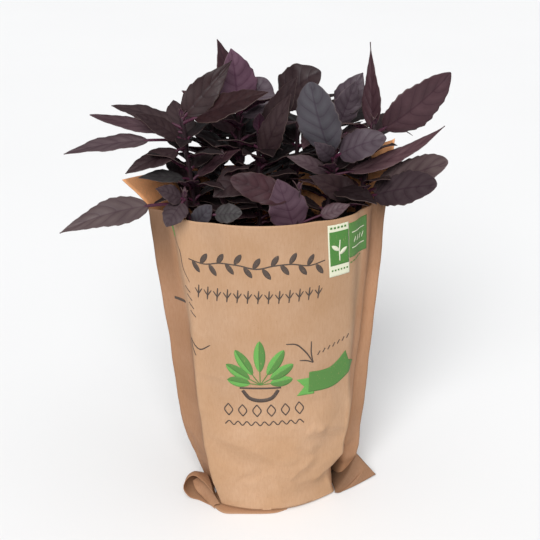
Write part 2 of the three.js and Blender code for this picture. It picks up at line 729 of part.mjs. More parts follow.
function leafyStem(stem, leaves) {
  return wasm.Manifold.union([stemRod(stem), ...leaves.map(leafBody)]);
}

// ---------- the finished plant ----------

const COLOURS = {
  paper: new THREE.MeshStandardMaterial({ color: 0xc49a6c, roughness: 0.85, metalness: 0 }),
  pot: new THREE.MeshStandardMaterial({ color: 0x2b2a29, roughness: 0.5, metalness: 0 }),
  soil: new THREE.MeshStandardMaterial({ color: 0x2e221a, roughness: 1, metalness: 0 }),
  leaf: new THREE.MeshStandardMaterial({ color: 0x46303a, roughness: 0.5, metalness: 0 }),
};

function piece(name, solid, material) {
  const mesh = new THREE.Mesh(geometryOf(solid), material);
  mesh.name = name;
  return mesh;
}

const basil = new THREE.Group();
basil.add(piece("kraft_bag", paperBag(), COLOURS.paper));
basil.add(piece("nursery_pot", pot(), COLOURS.pot));
basil.add(piece("soil", soil(STEMS), COLOURS.soil));
const leaves = placeLeaves();
for (const stem of STEMS) {
  const own = leaves.filter((leaf) => leaf.stem === stem);
  basil.add(piece(stem.name, leafyStem(stem, own), COLOURS.leaf));
}

export default basil;
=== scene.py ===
"""Dresses a purple basil plant, which grows in a pot of soil in an open kraft-paper bag.

Tables and functions are in millimetres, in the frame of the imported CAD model, and meshes are made in
metres. The paper bag, its print and the leafy stems follow the same folds, stems and leaves as the
solids that they replace.
"""

import math
import random

import bpy
import numpy as np
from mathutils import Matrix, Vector, noise


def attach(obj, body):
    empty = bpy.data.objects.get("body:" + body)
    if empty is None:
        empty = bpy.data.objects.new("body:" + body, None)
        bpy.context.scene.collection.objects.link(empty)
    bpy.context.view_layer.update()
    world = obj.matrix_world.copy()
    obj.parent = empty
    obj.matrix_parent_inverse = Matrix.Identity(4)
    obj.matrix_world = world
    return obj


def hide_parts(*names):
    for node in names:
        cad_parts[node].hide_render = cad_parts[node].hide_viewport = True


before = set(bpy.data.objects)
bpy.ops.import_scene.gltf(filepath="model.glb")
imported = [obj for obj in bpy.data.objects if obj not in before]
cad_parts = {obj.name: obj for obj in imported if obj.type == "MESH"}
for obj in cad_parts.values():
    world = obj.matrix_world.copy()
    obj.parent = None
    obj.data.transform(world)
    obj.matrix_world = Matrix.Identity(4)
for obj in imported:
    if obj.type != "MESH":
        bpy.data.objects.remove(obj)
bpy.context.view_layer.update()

MM = 0.001

# ---------- camera, light and floor ----------

CAMERA = {"at": (0, -870, 540), "down": 22.8, "focal_px": 1265, "frame_px": 540, "sensor": 36}
# Each light is the direction that it shines in, its strength and the width of its source in degrees.
FRONT_LIGHT = {"shines": (0.12, 0.8, -0.62), "strength": 3.5, "width": 34}
TOP_LIGHT = {"shines": (-0.1, 0.1, -1), "strength": 0.8, "width": 60}
SKY = (0.95, 0.97, 1.0)
SKY_STRENGTH = 0.27
FLOOR_SIZE = 8000


def add_camera():
    data = bpy.data.cameras.new("camera")
    data.sensor_width = CAMERA["sensor"]
    data.lens = CAMERA["sensor"] * CAMERA["focal_px"] / CAMERA["frame_px"]
    camera = bpy.data.objects.new("camera", data)
    camera.location = Vector(CAMERA["at"]) * MM
    camera.rotation_euler = (math.radians(90 - CAMERA["down"]), 0, 0)
    bpy.context.scene.collection.objects.link(camera)
    bpy.context.scene.camera = camera


def add_light(name, shines, strength, width):
    data = bpy.data.lights.new(name, "SUN")
    data.energy = strength
    data.angle = math.radians(width)
    light = bpy.data.objects.new(name, data)
    light.rotation_euler = Vector(shines).to_track_quat("-Z", "Y").to_euler()
    bpy.context.scene.collection.objects.link(light)


def add_sky():
    world = bpy.data.worlds.new("studio")
    world.use_nodes = True
    background = world.node_tree.nodes["Background"]
    background.inputs["Color"].default_value = (*SKY, 1)
    background.inputs["Strength"].default_value = SKY_STRENGTH
    bpy.context.scene.world = world
    bpy.context.scene.view_settings.view_transform = "Standard"


# ---------- meshes ----------


def new_mesh(name, points, faces, uv=None, tint=None, slots=None):
    """A mesh object from points in millimetres, with a UV and a tint for each point if given."""
    mesh = bpy.data.meshes.new(name)
    mesh.from_pydata((np.asarray(points, float) * MM).tolist(), [], faces)
    if slots is not None:
        mesh.polygons.foreach_set("material_index", np.asarray(slots, np.int32))
    if uv is not None:
        corners = np.zeros(len(mesh.loops), np.int32)
        mesh.loops.foreach_get("vertex_index", corners)
        layer = mesh.uv_layers.new(name="surface")
        layer.data.foreach_set("uv", np.asarray(uv, np.float32)[corners].ravel())
    if tint is not None:
        colours = mesh.color_attributes.new("tint", "FLOAT_COLOR", "POINT")
        colours.data.foreach_set("color", np.asarray(tint, np.float32).ravel())
    mesh.polygons.foreach_set("use_smooth", [True] * len(mesh.polygons))
    mesh.update()
    piece = bpy.data.objects.new(name, mesh)
    bpy.context.scene.collection.objects.link(piece)
    return piece


def with_alpha(colours):
    return np.concatenate([colours, np.ones((len(colours), 1))], axis=1)


def finish_piece(piece, materials, replaced=()):
    """Gives a piece its materials and its body, and hides the nodes that it stands for."""
    for material in materials:
        piece.data.materials.append(material)
    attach(piece, "root")
    if replaced:
        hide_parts(*replaced)


def grid_faces(rows, columns, closed=False):
    """Quads between the points of a grid that is stored row by row."""
    steps = columns if closed else columns - 1
    row, column = np.meshgrid(np.arange(rows - 1), np.arange(steps), indexing="ij")
    after = (column + 1) % columns
    corners = [row * columns + column, row * columns + after]
    corners += [(row + 1) * columns + after, (row + 1) * columns + column]
    return np.stack(corners, -1).reshape(-1, 4).tolist()


def capped_faces(rings, sides):
    """The faces of a closed tube: its wall and its two ends."""
    last = (rings - 1) * sides
    ends = [list(range(sides))[::-1], [last + j for j in range(sides)]]
    return grid_faces(rings, sides, closed=True) + ends


def faces_between(low, high):
    """Quads between two rows of point numbers."""
    return np.stack([low[:-1], low[1:], high[1:], high[:-1]], -1).tolist()


def thicken(piece, thickness, offset=-1.0):
    """Makes a sheet into thin closed paper."""
    modifier = piece.modifiers.new("thickness", "SOLIDIFY")
    modifier.thickness = thickness * MM
    modifier.offset = offset
    modifier.use_even_offset = True
    return modifier


class Parts:
    """Points, faces and what goes with them, gathered for one mesh."""

    def __init__(self):
        self.points, self.faces, self.uv, self.tint, self.slots = [], [], [], [], []
        self.count = 0

    def add(self, points, faces, uv=None, tint=(1, 1, 1), slot=0):
        points = np.asarray(points, float).reshape(-1, 3)
        self.faces += [[corner + self.count for corner in face] for face in faces]
        self.slots += [slot] * len(faces)
        self.points.append(points)
        self.uv.append(np.zeros((len(points), 2)) if uv is None else np.asarray(uv).reshape(-1, 2))
        tints = np.ones((len(points), 4))
        tints[:, :3] = tint
        self.tint.append(tints)
        self.count += len(points)

    def mesh(self, name):
        points, uv, tint = (np.concatenate(rows) for rows in (self.points, self.uv, self.tint))
        return new_mesh(name, points, self.faces, uv, tint, self.slots)


# ---------- materials ----------


def linear(code):
    """A colour code such as "c8a080" as linear red, green and blue."""
    parts = [int(code[i : i + 2], 16) / 255 for i in (0, 2, 4)]
    return tuple(c / 12.92 if c <= 0.04045 else ((c + 0.055) / 1.055) ** 2.4 for c in parts)


class Shader:
    """A material with a Principled BSDF, and short calls for the nodes that feed it."""

    def __init__(self, name, **numbers):
        self.material = bpy.data.materials.new(name)
        self.material.use_nodes = True
        self.tree = self.material.node_tree
        self.bsdf = self.tree.nodes["Principled BSDF"]
        for socket, value in numbers.items():
            self.bsdf.inputs[socket.replace("_", " ")].default_value = value

    def node(self, kind, inputs=None, **settings):
        made = self.tree.nodes.new(kind)
        for name, value in settings.items():
            setattr(made, name, value)
        for key, value in (inputs or {}).items():
            self.put(made.inputs[key], value)
        return made

    def put(self, socket, value):
        if isinstance(value, bpy.types.NodeSocket):
            self.tree.links.new(value, socket)
        else:
            socket.default_value = value

    def place(self):
        return self.node("ShaderNodeTexCoord").outputs["Object"]

    def noise(self, scale, detail=2.0, stretch=None, roughness=0.5):
        place = self.place()
        if stretch:
            place = self.node("ShaderNodeMapping", {"Vector": place, "Scale": stretch}).outputs[0]
        inputs = {"Vector": place, "Scale": scale, "Detail": detail, "Roughness": roughness}
        return self.node("ShaderNodeTexNoise", inputs).outputs["Fac"]

    def tint(self):
        return self.node("ShaderNodeVertexColor", layer_name="tint").outputs["Color"]

    def math(self, operation, a, b=0.0):
        return self.node("ShaderNodeMath", {0: a, 1: b}, operation=operation).outputs[0]

    def span(self, value, low, high, to_low=0.0, to_high=1.0):
        inputs = {"Value": value, "From Min": low, "From Max": high, "To Min": to_low, "To Max": to_high}
        return self.node("ShaderNodeMapRange", inputs).outputs["Result"]

    def mix(self, share, a, b, blend="MIX"):
        made = self.node("ShaderNodeMix", data_type="RGBA", blend_type=blend)
        self.put(made.inputs["Factor"], share)
        colours = [socket for socket in made.inputs if socket.type == "RGBA"]
        for socket, value in zip(colours, (a, b)):
            self.put(socket, (*value, 1) if isinstance(value, tuple) else value)
        return next(socket for socket in made.outputs if socket.type == "RGBA")

    def bump(self, height, distance, strength=1.0, after=None):
        inputs = {"Height": height, "Distance": distance * MM, "Strength": strength}
        if after is not None:
            inputs["Normal"] = after
        return self.node("ShaderNodeBump", inputs).outputs["Normal"]

    def over(self, colour, code, value, low, high, share=1.0):
        """Lays a colour over another: none of it below the low value, a share of it above the high one."""
        return self.mix(self.span(value, low, high, 0, share), colour, linear(code))

    def feed(self, **sockets):
        for name, value in sockets.items():
            self.put(self.bsdf.inputs[name.replace("_", " ")], value)
        return self.material


def kraft_material(name, light, dark):
    """Unbleached paper: fine fibres, faint cloudiness and a few dark specks."""
    shader = Shader(name, IOR=1.45)
    cloud = shader.noise(28, 3)
    fibre = shader.noise(900, 2, (1, 1, 0.22))
    speck = shader.noise(1400, 1)
    colour = shader.over(linear(light), dark, cloud, 0.35, 0.65)
    colour = shader.over(colour, "a37c5b", fibre, 0.35, 0.7, 0.35)
    colour = shader.over(colour, "825c40", speck, 0.71, 0.76, 0.5)
    # The point tint is painted shade: it darkens and reddens the paper on the bag's sides, in its pocket and
    # on its loose parts.
    colour = shader.mix(1.0, colour, shader.tint(), "MULTIPLY")
    normal = shader.bump(fibre, 0.05, 0.5)
    normal = shader.bump(shader.noise(160, 3), 0.25, 0.35, normal)
    rough = shader.span(fibre, 0.3, 0.7, 0.72, 0.84)
    return shader.feed(Base_Color=colour, Roughness=rough, Normal=normal)


WORN_INK = "c79e79"  # what shows where ink has not taken


def ink_material(name, code):
    """Flexographic ink: the paper's fibres break it up a little."""
    shader = Shader(name, IOR=1.45)
    worn = shader.noise(1100, 3, (1, 1, 0.4), 0.65)
    colour = shader.over(linear(code), WORN_INK, worn, 0.6, 0.8, 0.45)
    return shader.feed(
        Base_Color=colour,
        Roughness=shader.span(worn, 0.3, 0.7, 0.6, 0.75),
        Normal=shader.bump(worn, 0.03, 0.4),
    )


def leaf_material():
    """Basil leaf: its own tint, sunken darker veins, soft swellings between them with a painted highlight,
    and a paler rim that is a painted highlight.

    The surface UV holds how many veins lie below a point, counted from the leaf's base, and how far
    it lies across the blade, from 0 at the midrib to 1 at the rim.
    """
    shader = Shader("basil_leaf", IOR=1.4, Specular_IOR_Level=0.3)
    uv = shader.node("ShaderNodeUVMap", uv_map="surface").outputs["UV"]
    split = shader.node("ShaderNodeSeparateXYZ", {0: uv}).outputs
    across = shader.math("ABSOLUTE", split["Y"])
    near_vein = shader.math("PINGPONG", split["X"], 0.5)
    inner = shader.span(across, 0.7, 0.95, 1, 0)
    side_vein = shader.math("MULTIPLY", shader.span(near_vein, 0.0, 0.06, 1, 0), inner)
    midrib = shader.span(across, 0.02, 0.06, 1, 0)
    veins = shader.math("MAXIMUM", side_vein, midrib)
    pillow = shader.math("MULTIPLY", shader.span(near_vein, 0.1, 0.5), shader.span(across, 0.9, 0.5))
    blotch = shader.noise(45, 3)
    grain = shader.noise(500, 3)
    colour = shader.mix(shader.span(blotch, 0.4, 0.7), shader.tint(), linear("ddd6da"), "MULTIPLY")
    # Painted highlight and shade: the leaf is darkened away from the tops of its swellings, towards its veins
    # and its rim.
    colour = shader.mix(shader.span(pillow, 0, 1, 1, 0), colour, linear("e8e2e6"), "MULTIPLY")
    colour = shader.over(colour, "6a5862", grain, 0.45, 0.8, 0.05)
    colour = shader.mix(shader.math("MULTIPLY", veins, 0.7), colour, linear("cfb6cb"), "MULTIPLY")
    # The paler rim is a painted highlight along the leaf's edge.
    colour = shader.over(colour, "8a7568", across, 0.95, 1.0, 0.22)
    normal = shader.bump(grain, 0.08, 0.5)
    normal = shader.bump(shader.span(near_vein, 0.0, 0.12), 0.14, 0.5, normal)
    rough = shader.span(grain, 0.3, 0.7, 0.42, 0.58)
    return shader.feed(Base_Color=colour, Roughness=rough, Normal=normal)


def stem_material():
    """Stems and leaf stalks: dark magenta to brown, finely streaked and downy."""
    shader = Shader("basil_stem", IOR=1.4, Specular_IOR_Level=0.35)
    streak = shader.noise(700, 3, (1, 1, 0.08))
    colour = shader.over(shader.tint(), "2c1d22", streak, 0.4, 0.65, 0.5)
    return shader.feed(
        Base_Color=colour,
        Roughness=shader.span(streak, 0.3, 0.7, 0.4, 0.6),
        Normal=shader.bump(streak, 0.1, 0.5),
    )


def pot_material():
    """Thin black nursery plastic with a dusty, slightly scuffed face."""
    shader = Shader("pot_plastic", IOR=1.49)
    dust = shader.noise(90, 4)
    scuff = shader.noise(500, 2, (1, 1, 0.15))
    colour = shader.over(linear("201f1f"), "4a443d", dust, 0.45, 0.8, 0.5)
    return shader.feed(
        Base_Color=colour,
        Roughness=shader.span(scuff, 0.3, 0.7, 0.38, 0.6),
        Normal=shader.bump(scuff, 0.04, 0.4),
    )


def soil_material():
    """Damp peat compost: dark crumbs with brown fibres."""
    shader = Shader("compost", IOR=1.4)
    crumb = shader.noise(300, 4, None, 0.7)
    fibre = shader.noise(800, 2, (0.2, 1, 1))
    colour = shader.over(linear("1f1611"), "463426", crumb, 0.35, 0.7)
    colour = shader.over(colour, "75573c", fibre, 0.66, 0.74, 0.7)
    return shader.feed(
        Base_Color=colour,
        Roughness=shader.span(crumb, 0.3, 0.7, 0.8, 0.98),
        Normal=shader.bump(crumb, 0.8, 0.8),
    )


def perlite_material():
    shader = Shader("perlite", IOR=1.4)
    grain = shader.noise(900, 3)
    colour = shader.mix(grain, linear("cfc8bb"), linear("8f8577"))
    return shader.feed(Base_Color=colour, Roughness=0.9, Normal=shader.bump(grain, 0.3, 0.6))


def floor_material():
    shader = Shader("studio_floor")
    shade = shader.noise(3, 2)
    colour = shader.mix(shade, (0.83, 0.83, 0.83), (0.8, 0.8, 0.8))
    return shader.feed(Base_Color=colour, Roughness=0.85)


# ---------- the bag's form ----------

# Where the folds and bulges lie in plan at each height: the left side crease, the left front fold,
# the middle of the front, the right front fold, the right side crease and the middle of the back.
BAG_LEVELS = (
    (0, (-47, -18), (-37, -50), (7, -57), (50, -32), (58, -5), (3, 43)),
    (14, (-53, -20), (-41, -51), (7, -58), (52, -33), (66, -8), (3, 48)),
    (50, (-64, -22), (-48, -52), (4, -60), (57, -38), (70, -10), (2, 53)),
    (98, (-71, -24), (-53, -54), (1, -65), (58, -41), (74, -12), (0, 58)),
    (135, (-75, -26), (-56, -54), (-1, -68), (59, -42), (77, -13), (0, 56)),
    (185, (-81, -29), (-57, -54), (-3, -70), (60, -42), (81, -15), (0, 51)),
    (222, (-85, -30), (-61, -53), (-5, -71), (60, -43), (83, -17), (0, 47)),
    (236, (-87, -31), (-62, -53), (-6, -72), (60, -43), (84, -18), (0, 46)),
    (260, (-106, -36), (-62, -53), (-6, -72), (60, -43), (87, -17), (0, 50)),
    (284, (-120, -40), (-62, -53), (-6, -72), (60, -43), (89, -16), (0, 56)),
)
RIM = {"front": 235, "lift": 1.5, "back_left": 257, "back_middle": 242, "back_right": 281, "power": 3}
BACK_POWER = 3.1
SIDE_VALLEY = {"across": 0.05, "back": 3.9}
COLUMNS = {"front": 96, "side": 30, "back": 96}
ROWS = {"body": 150, "back": 26}
PAPER = 0.35


def smooth_between(at, knots, values):
    """Values at some heights on smooth curves through the values at the knots."""
    knots, values = np.asarray(knots, float), np.asarray(values, float)
    slopes = np.gradient(values, knots, axis=0)
    i = np.clip(np.searchsorted(knots, at, side="right") - 1, 0, len(knots) - 2)
    step = (knots[i + 1] - knots[i]).reshape(-1, *[1] * (values.ndim - 1))
    t = ((at - knots[i]) / (knots[i + 1] - knots[i])).reshape(step.shape)
    start = (2 * t**3 - 3 * t**2 + 1) * values[i] + (t**3 - 2 * t**2 + t) * step * slopes[i]
    end = (3 * t**2 - 2 * t**3) * values[i + 1] + (t**3 - t**2) * step * slopes[i + 1]
    return start + end


def hump(x, middle, width):
    """1 at the middle, falling smoothly to about 0 at one and a half widths from it."""
    return np.exp(-(((x - middle) / width) ** 2))


def ramp(x, low, high):
    """0 below low, 1 above high, and smooth between."""
    t = np.clip((x - low) / (high - low), 0, 1)
    return t * t * (3 - 2 * t)


def chord(a, b, t):
    """Plan points at shares t between a and b, for every row."""
    return a[:, None] + (b - a)[:, None] * t[None, :, None]


def side_points(fold, crease, t, rows, relief):
    """Plan points on a side, from its front fold (0) to its crease (1), with its gusset's folds."""
    pull = np.sin(np.pi * t)
    points = chord(fold, crease, t)
    points[..., 0] *= 1 - SIDE_VALLEY["across"] * pull
    points[..., 1] += SIDE_VALLEY["back"] * pull * (1 - t)
    across = crease - fold
    across /= np.linalg.norm(across, axis=1, keepdims=True)
    outward = np.stack([across[:, 1], -across[:, 0]], -1) * np.sign(crease[:, :1] - fold[:, :1])
    return points + outward[:, None] * relief(t[None, :], rows[:, None])[..., None]


# The front's lower right corner is pushed in, which leaves a dark pocket between it and the ear. Its paper is
# also darkened there with painted shade, dark_width wide.
TUCK = {"heights": (0, 27, 38), "shift": (-11.0, -6.0)}
POCKET = {
    "heights": (0, 12, 38),
    "depths": (1, 1, 0),
    "shift": (-8, 26),
    "middle": 0.4,
    "width": 0.2,
    "dark_width": 0.3,
}
# Heights, and the shares of the right side's width at which its fold and the valley behind it lie there.
RIGHT_FOLD = {
    "heights": (60, 90, 131, 180),
    "fold": (0.0, 0.22, 0.45, 0.55),
    "valley": (0.36, 0.5, 0.68, 0.84),
}


def right_gusset(t, z):
    """How far the right side stands out: a true fold, and a deep valley behind it."""
    fold = np.interp(z, RIGHT_FOLD["heights"], RIGHT_FOLD["fold"])
    valley = np.interp(z, RIGHT_FOLD["heights"], RIGHT_FOLD["valley"])
    high = ramp(z, 140, 190)
    ridge = ramp(z, 40, 90) * (2.6 - 1.2 * high) * hump(t, fold, 0.17 + 0.1 * high)
    dip = ramp(z, 20, 60) * (5.5 - 0.5 * high) * hump(t, valley, 0.13 + 0.03 * high) * (1 - ramp(t, 0.88, 1))
    return ridge - dip + 1.2 * hump(t, 1, 0.1)


def left_gusset(t, z):
    """How far the left side stands out: full behind its fold above, and hollow below."""
    full = 3.0 * hump(t, 0.12, 0.24) * ramp(z, 140, 215)
    hollow = 1.5 * hump(t, 0.25, 0.2) * (1 - ramp(z, 150, 200))
    return full - hollow + 1.0 * hump(t, 1, 0.1)


def pocket_share(t, rows, width):
    """1 in the middle of the pocket beside the right ear, and 0 away from it."""
    return np.interp(rows, POCKET["heights"], POCKET["depths"])[:, None] * hump(t, POCKET["middle"], width)


def pushed_in(t, rows):
    """How far the pocket is pushed into the bag, in plan."""
    return pocket_share(t, rows, POCKET["width"])[..., None] * np.array(POCKET["shift"], float)


def bag_outline(rows):
    """The bag's plan at each row, anticlockwise seen from above, from the left front fold."""
    knots = [level[0] for level in BAG_LEVELS]
    values = np.array([level[1:] for level in BAG_LEVELS], float)
    levels = smooth_between(rows, knots, values)
    crease_l, fold_l, front, fold_r, crease_r, back = np.moveaxis(levels, 1, 0)
    tuck = np.interp(rows, TUCK["heights"], (0, 1, 0))
    fold_r = fold_r + tuck[:, None] * TUCK["shift"]
    q = np.linspace(-1, 1, COLUMNS["front"], endpoint=False)
    face = chord(fold_l, fold_r, (q + 1) / 2)
    face[..., 1] += (front[:, 1] - (fold_l[:, 1] + fold_r[:, 1]) / 2)[:, None] * (1 - q * q)
    t = np.linspace(0, 1, COLUMNS["side"], endpoint=False)
    right = side_points(fold_r, crease_r, t, rows, right_gusset) + pushed_in(t, rows)
    p = np.linspace(1, -1, COLUMNS["back"], endpoint=False)
    rear = chord(crease_l, crease_r, (p + 1) / 2)
    swell = back[:, 1] - (crease_l[:, 1] + crease_r[:, 1]) / 2
    rear[..., 1] += swell[:, None] * (1 - np.abs(p) ** BACK_POWER)
    left = side_points(fold_l, crease_l, 1 - t, rows, left_gusset)
    return np.concatenate([face, right, rear, left], axis=1)


def soften(outline, rows):
    """Rounds the folds a little along the outline. The front's are round at the top and sharp below."""
    folds = [0, COLUMNS["front"]]
    creases = [COLUMNS["front"] + COLUMNS["side"], COLUMNS["front"] + COLUMNS["side"] + COLUMNS["back"]]
    count = outline.shape[1]
    column = np.arange(count)
    at_top = (0.1 + 0.9 * ramp(rows, 100, 175))[:, None, None]
    for middles, reach, passes, strength in ((folds, 6, 14, at_top), (creases, 2, 1, 1)):
        gap = np.min([np.abs((column - m + count // 2) % count - count // 2) for m in middles], axis=0)
        share = strength * np.clip(1 - gap / reach, 0, 1)[None, :, None]
        for _ in range(passes):
            mean = (np.roll(outline, 1, axis=1) + np.roll(outline, -1, axis=1)) / 2
            outline = outline + 0.5 * share * (mean - outline)
    return outline


def along_outline(outline):
    """Distance along each row's outline from the middle of the front, negative to the left."""
    steps = np.linalg.norm(np.roll(outline, -1, axis=1) - outline, axis=2)
    total = steps.sum(axis=1, keepdims=True)
    far = np.cumsum(steps, axis=1) - steps
    far -= far[:, [COLUMNS["front"] // 2]]
    return np.where(far > total / 2, far - total, far)


# Dents and swellings of the paper: (distance along the front, height, half sizes, how far it stands out).
SWELLS = (
    (-43, 224, 9, 20, -2.0),
    (-26, 226, 14, 16, 0.7),
    (-18, 62, 26, 16, 1.6),
    (8, 34, 22, 12, 1.2),
    (-30, 30, 14, 26, -1.2),
    (54, 76, 9, 30, -1.4),
    (32, 86, 12, 9, 1.2),
    (44, 52, 16, 10, -1.6),
    (30, 26, 9, 5, 1.0),
    (46, 18, 6, 6, -1.6),
    (24, 12, 16, 6, -1.0),
    (-6, 12, 18, 8, -1.0),
    (0, 215, 30, 12, -0.7),
)
CREASE_STRENGTH = 1.4
# Sharp creases of the paper: (from, to, width above, width below, how far it stands out).
CREASES = (
    ((24, 99), (34, 98), 4, 3, 0.6),
    ((34, 98), (40, 95), 4, 3, 0.6),
    ((40, 95), (47, 91), 4, 3, 0.5),
    ((24, 72), (31, 67), 14, 5, 1.9),
    ((31, 67), (40, 71), 14, 6, 2.3),
    ((40, 71), (60, 62), 10, 8, 1.6),
    ((22, 56), (31, 46), 10, 4, 1.5),
    ((31, 46), (17, 34), 9, 5, 1.5),
    ((17, 34), (16, 27), 7, 5, 1.0),
    ((34, 22), (46, 29), 7, 3, 1.6),
    ((-44, 64), (-20, 58), 8, 4, 0.7),
    ((-20, 58), (2, 44), 9, 5, 0.9),
    ((2, 44), (24, 46), 8, 5, 0.8),
    ((-56, 118), (-30, 116), 4, 2, 0.5),
    ((-34, 24), (-12, 40), 7, 4, 0.7),
)


def crease_height(s, z, start, end, widths, height):
    """A ridge of folded paper along a line, with a slope on each side, which fades at its ends."""
    start, end = np.array(start, float), np.array(end, float)
    run = end - start
    t = np.clip(((s - start[0]) * run[0] + (z - start[1]) * run[1]) / run.dot(run), 0, 1)
    away_s, away_z = s - start[0] - t * run[0], z - start[1] - t * run[1]
    width = np.where(away_z > 0, *widths)
    fade = 0.45 + 0.55 * np.sin(np.pi * np.clip(t, 0.05, 0.95))
    return height * np.exp(-np.hypot(away_s, away_z) / width) * fade


def crumple(s, z):
    """Soft random facets, stronger towards the bottom of the bag."""
    flat = [noise.noise(Vector((a / 34, b / 30, 3.1))) for a, b in zip(s.ravel(), z.ravel())]
    fine = [1 - 2 * abs(noise.noise(Vector((a / 17, b / 15, 8.4)))) for a, b in zip(s.ravel(), z.ravel())]
    flat, fine = np.array(flat).reshape(s.shape), np.array(fine).reshape(s.shape)
    low = 1 - ramp(z, 30, 130)
    return flat * (1.0 + 1.4 * low) + fine * (0.12 + 0.45 * low)


def bag_relief(s, z):
    """How far the paper stands out from its plain form."""
    height = crumple(s, z)
    for middle_s, middle_z, half_s, half_z, out in SWELLS:
        height = height + out * hump(s, middle_s, half_s) * hump(z, middle_z, half_z)
    ridges = [crease_height(s, z, start, end, widths, out) for start, end, *widths, out in CREASES]
    height = height + CREASE_STRENGTH * np.max(ridges, axis=0)
    return height * ramp(z, -2, 6) * (1 - 0.6 * ramp(z, 215, 240))


def bag_grid(rows):
    """Points of the bag's outside, for every row and column, with the distance along the outline."""
    outline = soften(bag_outline(rows), rows)
    s = along_outline(outline)
    z = np.repeat(rows[:, None], outline.shape[1], axis=1)
    ahead = np.roll(outline, -1, axis=1) - np.roll(outline, 1, axis=1)
    ahead /= np.linalg.norm(ahead, axis=2, keepdims=True)
    outward = np.stack([ahead[..., 1], -ahead[..., 0]], -1)
    plan = outline + outward * bag_relief(s, z)[..., None]
    lift = RIM["lift"] * ramp(s, -55, -32) * (1 - ramp(s, 32, 50)) * ramp(z, 215, RIM["front"])
    return np.concatenate([plan, (z + lift)[..., None]], axis=2), s


# ---------- the bag ----------

BOTTOM = {"lift": 2.2, "tuck": 5.0, "steps": 5}


def rim_height(p):
    """Height of the back's top edge, from the left crease (-1) to the right one (1)."""
    corner = np.where(p > 0, RIM["back_right"], RIM["back_left"])
    return RIM["back_middle"] + (corner - RIM["back_middle"]) * np.abs(p) ** RIM["power"]


def back_above(heights, columns):
    """Rows of points from the front's rim height up to the back's top edge."""
    levels = np.linspace(RIM["front"], heights.max(), ROWS["back"])
    grid = bag_grid(levels)[0][:, columns]
    column = np.arange(len(columns))
    rows = []
    for share in np.linspace(0, 1, ROWS["back"])[1:]:
        place = (heights - RIM["front"]) * share / (levels[1] - levels[0])
        low = np.minimum(place.astype(int), ROWS["back"] - 2)
        t = (place - low)[:, None]
        rows.append(grid[low, column] * (1 - t) + grid[low + 1, column] * t)
    return rows


# How much the paper is darkened with painted shade: each side, the sides behind their soft upper
# folds, the front's upper part and the pocket beside the ear.
PAINTED_SHADE = {"left": 0.26, "right": 0.18, "upper_sides": 0.28, "upper_front": 0.1, "pocket": 0.68}
REDDEST = 0.18  # the darkness from which the paper is as red as it gets


def painted_shade_tint(dark):
    """Multiplies the paper's colour by painted shade: where it is darker it is also redder."""
    dark = np.asarray(dark, float)[..., None]
    return (1 - dark) * (1 - np.minimum(dark / REDDEST, 1) * (0, 0.13, 0.2))


def bag_painted_shade(rows):
    """How much painted shade darkens the paper at each row and column: none on the front and the back."""
    t = np.linspace(0, 1, COLUMNS["side"], endpoint=False)[None]
    high = ramp(rows, 120, 190)[:, None]
    side = ramp(t, 0.04 + 0.1 * high, 0.12 + 0.5 * high)
    upper = ramp(t, 0.35, 0.65) * ramp(rows, 160, 220)[:, None] * PAINTED_SHADE["upper_sides"]
    pocket = pocket_share(t, rows, POCKET["dark_width"])
    right = np.maximum(side * PAINTED_SHADE["right"] + upper, pocket * PAINTED_SHADE["pocket"])
    left = side * PAINTED_SHADE["left"] + upper
    plain = [np.zeros((len(rows), COLUMNS[part])) for part in ("front", "back")]
    return np.concatenate([plain[0], right, plain[1], left[:, ::-1]], axis=1)


def upper_front(rows):
    """A factor at each row and column that darkens the front's upper part with painted shade, but not its
    left fold.
    """
    q = np.linspace(-1, 1, COLUMNS["front"], endpoint=False)
    across = [ramp(q, -1, -0.7), np.ones(COLUMNS["side"]), np.zeros(COLUMNS["back"] + COLUMNS["side"])]
    return 1 - PAINTED_SHADE["upper_front"] * ramp(rows, 70, 110)[:, None] * np.concatenate(across)


def bag_wall():
    """The bag's outer skin: all round up to the front's rim, and the back above it."""
    rows = np.linspace(0, RIM["front"], ROWS["body"])
    points, s = bag_grid(rows)
    faces = grid_faces(*points.shape[:2], closed=True)
    start = COLUMNS["front"] + COLUMNS["side"]
    columns = np.arange(start, start + COLUMNS["back"] + 1)
    above = back_above(rim_height(np.linspace(1, -1, COLUMNS["back"] + 1)), columns)
    top = (ROWS["body"] - 1) * points.shape[1]
    indices = [top + columns]
    count = points.shape[0] * points.shape[1]
    indices += [count + k * len(columns) + np.arange(len(columns)) for k in range(len(above))]
    for low, high in zip(indices, indices[1:]):
        faces += faces_between(low, high)
    return points, s, np.concatenate([points.reshape(-1, 3), *above]), faces


def bag_floor(ring):
    """The folded bottom: rings that turn under from the lowest row and close on the middle."""
    middle = ring.mean(axis=0)
    rings = []
    for k in range(1, BOTTOM["steps"] + 1):
        turn = math.pi / 2 * k / BOTTOM["steps"]
        inward = BOTTOM["tuck"] * (1 - math.cos(turn)) / np.linalg.norm(ring - middle, axis=1)
        moved = ring + (middle - ring) * inward[:, None]
        moved[:, 2] = BOTTOM["lift"] * (1 - math.sin(turn))
        rings.append(moved)
    return rings, np.array([middle[0], middle[1], 0.0])


